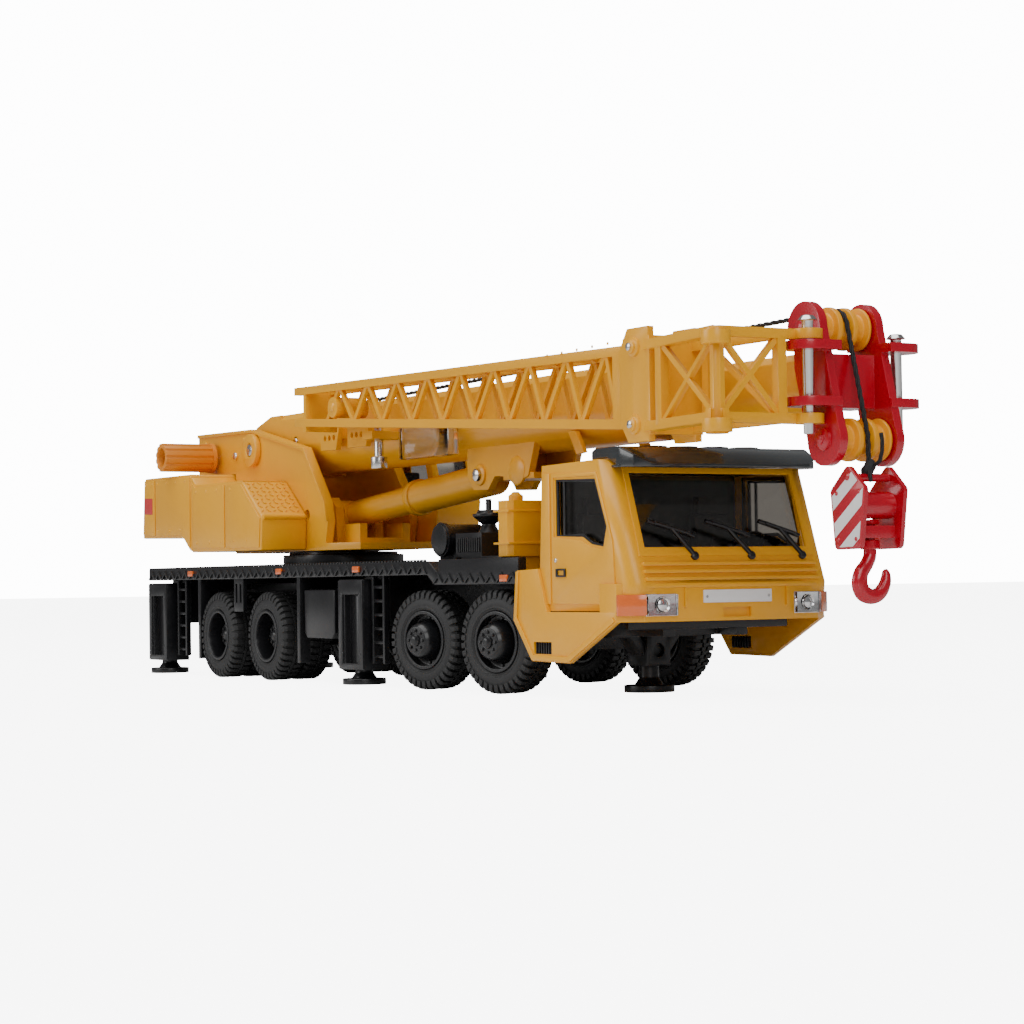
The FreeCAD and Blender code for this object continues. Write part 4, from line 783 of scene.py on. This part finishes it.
# %% [markdown]
# The visor is glossy and has hexagonal ventilator frames on top. The wipers
# are an arm and a blade lying on the glass.

# %% Visor and wipers
def hexagon(x, y, radius):
    return [(x + radius * 0.8 * math.cos(math.pi * i / 3), y + radius * math.sin(math.pi * i / 3))
            for i in range(6)]


visor = nodes["visor"].data.copy()
finish_mesh(visor, 0.35, 3)
frames = [cut_sheet([hexagon(168.5, y, 3.3), hexagon(168.5, y, 2.4)], "XY", 53.35, 0.5, 0.12)
          for y in (-12, -4, 4, 12)]
lip = outline_sheet([(180.2, -21.0), (181.5, -12), (181.5, 12), (180.2, 21.0), (174.4, 24.7), (162, 23.2),
                     (162, 22.2), (174.0, 23.6), (179.2, 20), (180.4, 12), (180.4, -12), (179.2, -20),
                     (174.0, -23.6), (162, -22.2), (162, -23.2), (174.4, -24.7)], "XY", 48.7, 0.6, 0.12)
piece("visor_moulded", [visor, lip, *frames], VISOR, "chassis", ["visor"])


def screen_x(z):
    """Outside of the windscreen at a height."""
    return 178.2 - 6.4 * (z - 31.0) / 18.2


def wipers():
    parts = []
    for base, tip, heel in ((-8.7, -19.2, -8.1), (6.0, -4.5, 6.1), (19.5, 9.4, 19.5)):
        low, high = screen_x(34.2) + 0.75, screen_x(37.4) + 0.75
        middle = (tip + heel) / 2
        parts.append(lathe([(0, 1.0), (0.8, 0.9), (1.1, 0.5)], (178.3, base, 29.9), (1, 0, 0.3), 16))
        parts.append(bar((178.9, base, 30.1), ((low + high) / 2 + 0.3, middle, 35.9), 0.55, 10, 0.1))
        parts.append(bar((high, tip, 37.4), (low, heel, 34.2), 0.5, 10, 0.12))
        parts.append(bar((high + 0.5, tip + 1.5, 37.0), (low + 0.5, heel - 1.5, 34.7), 0.4, 8, 0.08))
    return parts


piece("wipers", wipers(), BLACK, "chassis")

# %% [markdown]
# Each headlamp is a clear block over a bright reflector with a round lamp,
# next to an amber corner. Small amber markers run along the deck.

# %% Lamps, plate and grille
def lamp_bodies():
    clear_parts, bright, amber = [], [], []
    for side in (1, -1):
        def spread(points):
            placed = [(x, side * y) for x, y in points]
            return placed if side > 0 else placed[::-1]
        clear_parts.append(outline_sheet(spread([(181.35, 15.3), (182.1, 15.4), (181.4, 22.4),
                                                 (180.7, 22.4)]), "XY", 17.7, 4.4, 0.15))
        bright.append(outline_sheet(spread([(180.9, 15.2), (181.3, 15.2), (180.6, 22.5), (180.2, 22.5)]),
                                    "XY", 17.6, 4.6, 0.1))
        bright.append(lathe([(0, 1.7), (0.25, 1.6), (0.1, 1.2), (0.3, 0.6)], (181.25, side * 18.8, 19.9),
                            (1, side * 0.1, 0), 24))
        amber.append(outline_sheet(spread([(180.3, 22.7), (181.3, 22.7), (179.5, 25.2), (177.2, 27.3),
                                           (176.4, 27.1)]), "XY", 17.7, 4.4, 0.2))
        for station, level in ((-42.4, 28.8), (15.2, 28.8), (59.2, 28.8), (130.8, 26.0)):
            low = 26.6 if side > 0 else -27.15
            amber.append(block((station - 1.6, low, level - 0.75),
                               (station + 1.6, low + 0.55, level + 0.75), 0.15))
    return clear_parts, bright, amber


clear_parts, bright, amber = lamp_bodies()
piece("amber_lamps", amber, AMBER, "chassis", ["lamps"])
piece("headlamp_lenses", clear_parts, LENS, "chassis")
piece("headlamp_reflectors", bright, REFLECTOR, "chassis")
piece("number_plate", [block((181.62, -8.8, 20.2), (181.95, 8.8, 22.9), 0.12)], WHITE, "chassis")
bolts = [lathe([(0, 0.35), (0.12, 0.3)], (181.95, y, 21.5), (1, 0, 0), 12) for y in (-8.0, 8.0)]
piece("plate_screws", bolts, CHROME, "chassis")


def bumper_trim():
    upper = outline_sheet([(176.6, -26.6), (180.5, -22.2), (181.85, -10), (181.85, 10), (180.5, 22.2),
                           (176.6, 26.6), (176.0, 26.6), (176.0, -26.6)], "XY", 23.4, 1.0, 0.25)
    ribs = [block((181.0, y, 19.3), (181.75, y + 0.5, 23.4), 0.12) for y in (-13.4, 12.9)]
    steps = []
    for side in (-1, 1):
        low = -27.5 if side < 0 else 27.1
        edge = [(136.9, 27.4), (135.7, 16.7), (143.1, 8.0), (158, 7.8), (176.1, 16.6), (175.2, 17.4),
                (157.6, 9.0), (143.6, 9.2), (136.9, 17.2), (137.9, 27.4)]
        steps.append(outline_sheet(edge, "XZ", low, 0.4, 0.12))
    return [upper, *ribs, *steps]


bumper = nodes["bumper"].data.copy()
finish_mesh(bumper, 0.25)
piece("bumper_trimmed", [bumper, *bumper_trim()], YELLOW, "chassis", ["bumper"])


def step_grids():
    grid = repeated(block((-0.18, -0.6, 0), (0.18, 0.6, 2.6), 0.05), 7, (1.0, 0, 0))
    parts = [moved(grid, shift(144.2, 26.2 * side, 9.4)) for side in (-1, 1)]
    return parts + [block((170.2, -20.8, 14.6), (171.4, 20.8, 18.0), 0.3)]


piece("step_grids", step_grids(), BLACK, "chassis")

# %% [markdown]
# The jib's plates carry small screws and a row of rivets along the top, and
# its lugs have boss rings. They are separate heads placed on the casting.

# %% Jib and boom fittings
def jib_fittings():
    parts = rivets([(x, 74.6 - 0.02 * (184 - x)) for x in range(150, 182, 6)], -26.5, 0.35, 0.25)
    for z in (72.5, 56.7):
        parts.append(lathe([(0, 2.1), (0.5, 2.0), (0.8, 1.5)], (186.5, -28.3, z), (0, -1, 0), 24))
        parts.append(lathe([(0, 1.5), (0.5, 1.4), (0.7, 0.9)], (186.5, -29.0, z), (0, -1, 0), 20))
    for y, z in ((-33, 72.4), (-33, 53.0)):
        parts.append(lathe([(-0.3, 2.2), (0.4, 2.1), (0.6, 1.8)], (221.4, y, z), (0, 0, 1), 24))
    return parts


for node in ("jib_base", "jib_lattice"):
    mesh = nodes[node].data.copy()
    finish_mesh(mesh, 0.14)
    extra = jib_fittings() if node == "jib_base" else rivets([(46.8, 69.8)], -26.5, 1.2, 0.5)
    piece(node + "_fitted", [mesh, *extra], YELLOW, "jib", [node])
screws = [lathe([(0, 0.85), (0.3, 0.8), (0.45, 0.4)], (186.5, -29.65, z), (0, -1, 0), 16)
          for z in (72.5, 56.7)]
piece("jib_hinge_screws", screws, CHROME, "jib")


def boom_fittings():
    hanger = outline_sheet([(131, 58.9), (134.2, 58.9), (137.6, 53.9), (134.4, 53.6)], "XZ", -9.6, 1.2, 0.2)
    boss = lathe([(0, 2.6), (0.5, 2.5), (0.8, 2.0)], (87, -6.9, 51.1), (0, -1, 0), 28)
    disc = lathe([(0, 3.6), (0.6, 3.5), (1.0, 2.8)], (104, -6.4, 51.4), (0, -1, 0), 32)
    return [hanger, mirrored(hanger), boss, mirrored(boss), disc, mirrored(disc)]


base = nodes["boom_base"].data.copy()
finish_mesh(base, 0.4, 3)
piece("boom_base_fitted", [base, *boom_fittings()], YELLOW, "boom_base", ["boom_base"])
pins = [lathe([(0, 1.6), (0.6, 1.5), (0.9, 0.9)], (87, -7.9, 51.1), (0, -1, 0), 24),
        lathe([(0, 1.0), (0.3, 0.9)], (-8.5, -9.95, 64.6), (0, -1, 0), 20)]
piece("boom_pin_heads", pins + [mirrored(p) for p in pins], CHROME, "boom_base")
glass_block = block((57.2, -13.4, 56.2), (82.4, -10.15, 64.2), 0.5)
piece("clear_spacer", [glass_block], LENS, "boom_base")

# %% [markdown]
# The red head is enamelled like the hook block. Its pins get domed heads, and
# the sheaves' cheeks carry the nuts of their axles.

# %% Boom head
def head_fittings():
    parts = []
    for x, z in ((216.2, 74.4), (222.0, 52.0)):
        parts.append(lathe([(0, 2.3), (0.5, 2.2), (0.8, 1.7)], (x, -8.0, z), (0, -1, 0), 28))
        parts.append(lathe([(0.7, 1.2), (1.1, 1.1), (1.3, 0.6)], (x, -8.0, z), (0, -1, 0), 6))
    return parts + [mirrored(p) for p in parts]


head = nodes["boom_head"].data.copy()
finish_mesh(head, 0.3, 3)
piece("boom_head_fitted", [head, *head_fittings()], RED, "boom_tip", ["boom_head"])

# %% [markdown]
# The cord is laid from three strands. Each is a thin tube that winds about the
# cord's route, so the twist shows as small slanting ridges. Along the boom the
# cord is cut in three runs: the rear two ride on no body and the front one
# rides on the boom tip.

# %% Cord
def route(points, radii, pace=1.0):
    """Points along straight runs joined by tangent arcs."""
    spots = [Vector(p) for p in points]
    path = [spots[0]]
    for before, corner, after, radius in zip(spots, spots[1:], spots[2:], radii):
        enter, leave = (corner - before).normalized(), (after - corner).normalized()
        turn = enter.angle(leave)
        back = radius * math.tan(turn / 2)
        centre = corner + (leave - enter).normalized() * (radius / math.cos(turn / 2))
        first = corner - enter * back - centre
        for i in range(9):
            spin = Matrix.Rotation(turn * i / 8, 3, enter.cross(leave))
            path.append(centre + spin @ first)
    path.append(spots[-1])
    dense = [path[0]]
    for a, b in zip(path, path[1:]):
        parts = max(1, int((b - a).length / pace))
        dense += [a.lerp(b, i / parts) for i in range(1, parts + 1)]
    return dense


def strands(path, radius=0.5, lay=0.9, sides=6):
    """Three strands wound about a path; lay is the turn in radians for each millimetre."""
    meshes = []
    for strand in range(3):
        verts, run = [], 0.0
        for i, spot in enumerate(path):
            ahead_of = path[min(i + 1, len(path) - 1)] - path[max(i - 1, 0)]
            way = ahead_of.normalized()
            side = way.cross(Vector((0, 1, 0))).normalized()
            other = way.cross(side)
            if i:
                run += (spot - path[i - 1]).length
            angle = lay * run + strand * 2 * math.pi / 3
            middle = spot + (side * math.cos(angle) + other * math.sin(angle)) * radius * 0.5
            for k in range(sides):
                bend = 2 * math.pi * k / sides
                out = side * math.cos(bend) + other * math.sin(bend)
                verts.append(tuple(middle + out * radius * 0.56))
        mesh = mesh_from("strand", verts, tube_faces(len(path), sides))
        mesh.shade_smooth()
        meshes.append(mesh)
    return meshes


WRAP = 3.7
HEAD_TOP, HEAD_LOW = Vector((216.2, 0, 74.4)), Vector((222.0, 0, 52.0))
fall_way = (HEAD_LOW - HEAD_TOP).normalized()
fall_side = Vector((-fall_way.z, 0, fall_way.x))
corner = HEAD_TOP + fall_side * WRAP - fall_way * ((WRAP - fall_side.z * WRAP) / -fall_way.z)
whole = route([(-16, 0, 73.6), tuple(corner), tuple(HEAD_LOW + fall_side * WRAP), (225.7, 0, 51.4)],
              [WRAP, 2.0], 0.8)
split_base = [p for p in whole if p.x <= 100.5]
split_mid = [p for p in whole if 99.5 <= p.x <= 206.5 and p.z > 72]
split_tip = [p for p in whole if p.x >= 205.5]
for name, spots, ends in (("cord_rear", split_base, ("boom_base", "boom_mid")),
                          ("cord_middle", split_mid, ("boom_mid", "boom_tip"))):
    made = piece(name, strands(spots), CORD, None, ["rope_run"])
    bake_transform(made)
piece("cord_front", strands(split_tip), CORD, "boom_tip", ["rope_run"])
eye = lathe([(0, 1.5), (0.8, 1.4), (1.1, 1.0)], (-13.2, 0, 72.5), (0, 0, 1), 20)
piece("cord_eye", [eye], BLACK, "boom_base")


def knot_and_tail():
    """A lumpy knot on the block with two short frayed ends."""
    parts = [lathe([(-1.3, 0.3), (-0.9, 0.9), (0, 1.25), (0.9, 0.9), (1.3, 0.3)], (225.7, dy, 46.2 + dz),
                   way, 16) for dy, dz, way in ((0.0, 0.0, (0, 1, 0.3)), (0.4, 0.6, (0.3, 0.2, 1)),
                                                (-0.4, -0.5, (1, 0.4, -0.2)))]
    for points in (((226.0, 0.2, 46.4), (228.2, 0.9, 47.6), (229.3, 0.6, 50.4), (229.5, 0.2, 53.0)),
                   ((226.0, -0.2, 46.0), (227.6, -1.2, 45.2), (228.4, -1.8, 43.6))):
        parts += strands(route(points, [1.2] * (len(points) - 2), 0.5), 0.42)
    return parts


fall = piece("cord_fall", strands(route([(225.7, 0, 52.0), (225.7, 0, 46.4)], [], 0.5)), CORD, None,
             ["rope_fall"])
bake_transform(fall)
piece("cord_knot", knot_and_tail(), CORD, "hook_block")

# %% [markdown]
# The hook block's cheeks are red with white warning stripes. A stripe is a
# slanting band clipped to the cheek's outline, printed a hair above it.

# %% Hook block
CHEEK = [(225.9, 46.6), (230.5, 42.1), (229.0, 31.0), (222.0, 30.9), (220.9, 41.9)]


def clipped(points, normal, far):
    """Keeps the part of an outline on one side of a line."""
    kept = []
    for a, b in zip(points, points[1:] + points[:1]):
        da = a[0] * normal[0] + a[1] * normal[1] - far
        db = b[0] * normal[0] + b[1] * normal[1] - far
        if da >= 0:
            kept.append(a)
        if (da >= 0) != (db >= 0):
            share = da / (da - db)
            kept.append((a[0] + (b[0] - a[0]) * share, a[1] + (b[1] - a[1]) * share))
    return kept


def stripes(y):
    parts = []
    for low in (-7.0, -2.4, 2.2):
        slant = (-0.6, 0.8)
        base = 225.5 * slant[0] + 38.5 * slant[1]
        band = clipped(clipped(CHEEK, slant, base + low), (-slant[0], -slant[1]), -(base + low + 2.4))
        if len(band) > 2:
            parts.append(outline_sheet(band, "XZ", y, 0.06, 0.0))
    return parts


def swept(spots, steps=20, between=6):
    """A round bar through (y, z, radius) spots at the hook's station, smoothed between them."""
    path = []
    padded = [spots[0], *spots, spots[-1]]
    for a, b, c, d in zip(padded, padded[1:], padded[2:], padded[3:]):
        for i in range(between):
            t = i / between
            path.append(tuple(0.5 * (2 * q + (r - p) * t + (2 * p - 5 * q + 4 * r - o) * t ** 2
                                     + (3 * q - p - 3 * r + o) * t ** 3) for p, q, r, o in zip(a, b, c, d)))
    path.append(spots[-1])
    verts = []
    for i, (y, z, radius) in enumerate(path):
        before, after = path[max(i - 1, 0)], path[min(i + 1, len(path) - 1)]
        way = Vector((after[0] - before[0], after[1] - before[1])).normalized()
        for k in range(steps):
            angle = 2 * math.pi * k / steps
            out = radius * math.cos(angle)
            verts.append((225.6 + min(radius, 1.3) * math.sin(angle), y - way.y * out, z + way.x * out))
    return finish_mesh(mesh_from("hook", verts, tube_faces(len(path), steps)))


HOOK = [(0, 30.8, 1.25), (-0.1, 29.0, 1.3), (-1.0, 27.4, 1.35), (-2.3, 25.8, 1.55), (-2.7, 23.8, 1.75),
        (-1.9, 22.0, 1.75), (0.2, 21.2, 1.5), (2.2, 21.8, 1.4), (3.5, 23.5, 1.2), (3.9, 25.0, 1.0),
        (3.8, 26.1, 0.7), (3.7, 26.5, 0.3)]
nut = bar((225.6, 0, 30.4), (225.6, 0, 32.3), 1.95, 6, 0.25)
shank = bar((225.6, 0, 30.2), (225.6, 0, 35.3), 1.0, 20)
shank_head = bar((225.6, 0, 35.2), (225.6, 0, 36.2), 1.9, 6, 0.25)
piece("hook_cast", [swept(HOOK), nut, shank, shank_head], RED, "hook", ["hook"])

cheeks = nodes["hook_block"].data.copy()
finish_mesh(cheeks, 0.2)
small_studs = [(222.4, 41.4), (229.2, 41.6), (222.8, 32.4), (228.2, 32.4)]
studs = rivets([(225.8, 44.6)], -5.35, 0.9, 0.35) + rivets(small_studs, -5.35, 0.5, 0.3)
piece("hook_block_fitted", [cheeks, *studs, *[mirrored(s) for s in studs]], RED, "hook_block",
      ["hook_block"])
printed = stripes(-5.47)
piece("hook_block_stripes", printed + [mirrored(s) for s in printed], WHITE, "hook_block")

# %% [markdown]
# The outriggers have ladder rungs beside them, and bolts and a frame at their
# heads.

# %% Outriggers
def outrigger_fittings(station, side):
    y = 26.9 * side
    parts = []
    for z in (22.6, 8.0):
        for x in (station - 5.0, station + 5.0):
            parts.append(lathe([(0, 0.75), (0.3, 0.7), (0.5, 0.35)], (x, y, z), (0, side, 0), 10))
    frame_ring = cut_sheet([[(station - 6.5, 4.2), (station + 6.5, 4.2), (station + 6.5, 26.1),
                             (station - 6.5, 26.1)], [(station - 4.4, 5.6), (station + 4.4, 5.6),
                                                      (station + 4.4, 22.6), (station - 4.4, 22.6)]], "XZ",
                           y + 0.1 * side, 0.6, 0.15)
    return parts + [frame_ring]


def ladder(station, side):
    """Rungs between two rails, hung from the deck beside an outrigger."""
    y = 24.6 * side
    rung = block((0, -0.35, 0), (5.6, 0.35, 0.7), 0.12)
    rungs = repeated(rung, 6, (0, 0, 3.4))
    rails = [block((station - 0.3, y - 0.7, 5.6), (station + 0.7, y + 0.7, 27.0), 0.15),
             block((station + 5.3, y - 0.7, 5.6), (station + 6.3, y + 0.7, 27.0), 0.15)]
    return [moved(rungs, shift(station + 0.2, y, 7.0)), *rails]


for row, station in (("rear", -65.7), ("mid", 56.6)):
    for side_name, side in (("left", 1), ("right", -1)):
        mesh = nodes[f"beam_{row}_{side_name}"].data.copy()
        finish_mesh(mesh, 0.2)
        piece(f"beam_{row}_{side_name}_fitted", [mesh, *outrigger_fittings(station, side)], BLACK,
              f"beam_{row}_{side_name}", [f"beam_{row}_{side_name}"])
ladders = []
for station in (-55.5, 64.6):
    for side in (1, -1):
        ladders += ladder(station, side)
piece("ladders", ladders, BLACK, "chassis")

# %% [markdown]
# The engine's cover has cooling slats and the tank has a rib round its
# middle. The turntable's plates have rims, bolts and a ring round the pin.

# %% Engine, tank and turntable
slats = repeated(block((0, -0.2, 0), (0.5, 0.2, 3.4), 0.08), 11, (1.0, 0, 0))
piece("engine_slats", [moved(slats, shift(98.2, -20.1, 32.2))], BLACK, "chassis")
tank = nodes["coolant_tank"].data.copy()
finish_mesh(tank, 0.4, 3)
ribs = [block((121.1, -23.7, z), (127.9, -3.7, z + 0.5), 0.15) for z in (33.6, 40.9)]
caps = [lathe([(0, 1.7), (1.2, 1.7), (1.5, 1.4), (1.6, 0.6)], (124.4, y, 43.4), (0, 0, 1), 20)
        for y in (-19.6, -8.6)]
piece("coolant_tank_ribbed", [tank, *ribs, *caps], YELLOW, "chassis", ["coolant_tank"])


def turntable_fittings():
    parts = []
    for x, z in ((-39.7, 62.1), (-60.5, 66.4), (-60.5, 60.2), (-34.0, 66.2)):
        parts.append(lathe([(0, 1.1), (0.35, 1.0), (0.55, 0.5)], (x, -13.5, z), (0, -1, 0), 18))
    rim = [(-66.0, 69.6), (-29.1, 69.1), (4.1, 62.2), (16.3, 47.2), (17.6, 42.0), (16.5, 42.0),
           (15.3, 46.8), (3.6, 61.3), (-29.2, 68.1), (-66.0, 68.6)]
    parts.append(outline_sheet(rim, "XZ", -14.0, 0.5, 0.15))
    parts.append(cut_sheet([circle(-27.7, 63.1, 4.6, 32), circle(-27.7, 63.1, 1.9, 24)], "XZ", -14.4, 1.6,
                           0.25))
    return parts + [mirrored(p) for p in parts]


table = nodes["turntable"].data.copy()
finish_mesh(table, 0.3, 3)
piece("turntable_fitted", [table, *turntable_fittings()], YELLOW, "superstructure", ["turntable"])
caps = [lathe([(0, 1.7), (0.3, 1.6), (0.5, 0.9)], (-27.7, -14.8, 63.1), (0, -1, 0), 24),
        lathe([(0, 1.1), (0.3, 1.0), (0.45, 0.5)], (-39.7, -13.95, 62.1), (0, -1, 0), 18)]
piece("turntable_pin_caps", caps + [mirrored(c) for c in caps], CHROME, "superstructure")

# %% [markdown]
# The operator's cab has its own clear panes and a seat.

# %% Operator's cab
panes = [block((-9.2, 26.0, 48.2), (24.0, 26.5, 61.8), 0.05),
         block((23.3, 15.8, 48.2), (23.8, 25.2, 58.5), 0.05)]
piece("operator_panes", panes, GLASS, "superstructure")
seat = [block((0, 16.5, 36.7), (9, 24, 44.5), 0.8), block((-4, 16.5, 43.5), (0.5, 24, 56.0), 0.8)]
piece("operator_seat", seat, INTERIOR_GREY_AND_SHADE, "superstructure")

# %% [markdown]
# The toy stands on a pale table under soft light, as for a catalogue. Large
# area lights give the broad highlights on the enamel, and a pale world fills
# the shadows.

# %% Table, light and camera
TABLE_REACH, TABLE_GLOW = 6000, 7.0
WORLD_LIGHT, WORLD_SEEN = 0.2, 14.0


def stage_floor():
    material = finish("pale table", (0.86, 0.86, 0.86), (0.88, 0.88, 0.88), (0.4, 0.5), scale=40, bump=0.0)
    shine = material.node_tree.nodes["Principled BSDF"]
    shine.inputs["Emission Color"].default_value = (1, 1, 1, 1)
    path = material.node_tree.nodes.new("ShaderNodeLightPath")
    glow = material.node_tree.nodes.new("ShaderNodeMath")
    glow.operation = "MULTIPLY"
    glow.inputs[1].default_value = TABLE_GLOW
    material.node_tree.links.new(path.outputs["Is Camera Ray"], glow.inputs[0])
    material.node_tree.links.new(glow.outputs[0], shine.inputs["Emission Strength"])
    corners = [(a * TABLE_REACH, b * TABLE_REACH, -0.02) for a, b in ((-1, -1), (1, -1), (1, 1), (-1, 1))]
    mesh = mesh_from("table", corners, [(0, 1, 2, 3)])
    mesh.materials.append(material)
    floor = bpy.data.objects.new("table", mesh)
    bpy.context.scene.collection.objects.link(floor)


def area_light(name, spot, aim, size, power):
    data = bpy.data.lights.new(name, "AREA")
    data.shape = "RECTANGLE"
    data.size, data.size_y = size
    data.energy = power
    lamp = bpy.data.objects.new(name, data)
    lamp.location = spot
    lamp.rotation_euler = (Vector(aim) - Vector(spot)).to_track_quat("-Z", "Y").to_euler()
    bpy.context.scene.collection.objects.link(lamp)


stage_floor()
middle = (0.08, 0.0, 0.04)
area_light("soft top", (0.1, -0.2, 0.9), middle, (1.0, 0.8), 8.0)
area_light("front left", (0.95, -0.35, 0.5), middle, (0.5, 0.6), 3.4)
area_light("side fill", (-0.3, -0.95, 0.35), middle, (0.7, 0.4), 3.4)

world = bpy.data.worlds.new("pale studio")
bpy.context.scene.world = world
world.use_nodes = True
backdrop = world.node_tree.nodes["Background"]
backdrop.inputs["Color"].default_value = (0.98, 0.985, 0.99, 1)
path = world.node_tree.nodes.new("ShaderNodeLightPath")
glow = world.node_tree.nodes.new("ShaderNodeMapRange")
glow.inputs["To Min"].default_value = WORLD_LIGHT
glow.inputs["To Max"].default_value = WORLD_SEEN
world.node_tree.links.new(path.outputs["Is Camera Ray"], glow.inputs["Value"])
world.node_tree.links.new(glow.outputs["Result"], backdrop.inputs["Strength"])

CAMERA_SPOT = Vector((603.42, -307.67, 25.07)) * MM
AZIMUTH, PITCH, ROLL = math.radians(59.07), math.radians(1.627), math.radians(-0.864)
ahead = Vector((-math.sin(AZIMUTH) * math.cos(PITCH), math.cos(AZIMUTH) * math.cos(PITCH), math.sin(PITCH)))
level = Vector((math.cos(AZIMUTH), math.sin(AZIMUTH), 0))
upward = level.cross(ahead)
right = math.cos(ROLL) * level + math.sin(ROLL) * upward
up = -math.sin(ROLL) * level + math.cos(ROLL) * upward
view = bpy.data.cameras.new("studio camera")
view.sensor_width = 36
view.lens = 86.86
view.clip_start = 0.01
camera = bpy.data.objects.new("studio camera", view)
camera.matrix_world = Matrix.Translation(CAMERA_SPOT) @ Matrix((right, up, -ahead)).transposed().to_4x4()
bpy.context.scene.collection.objects.link(camera)
bpy.context.scene.camera = camera
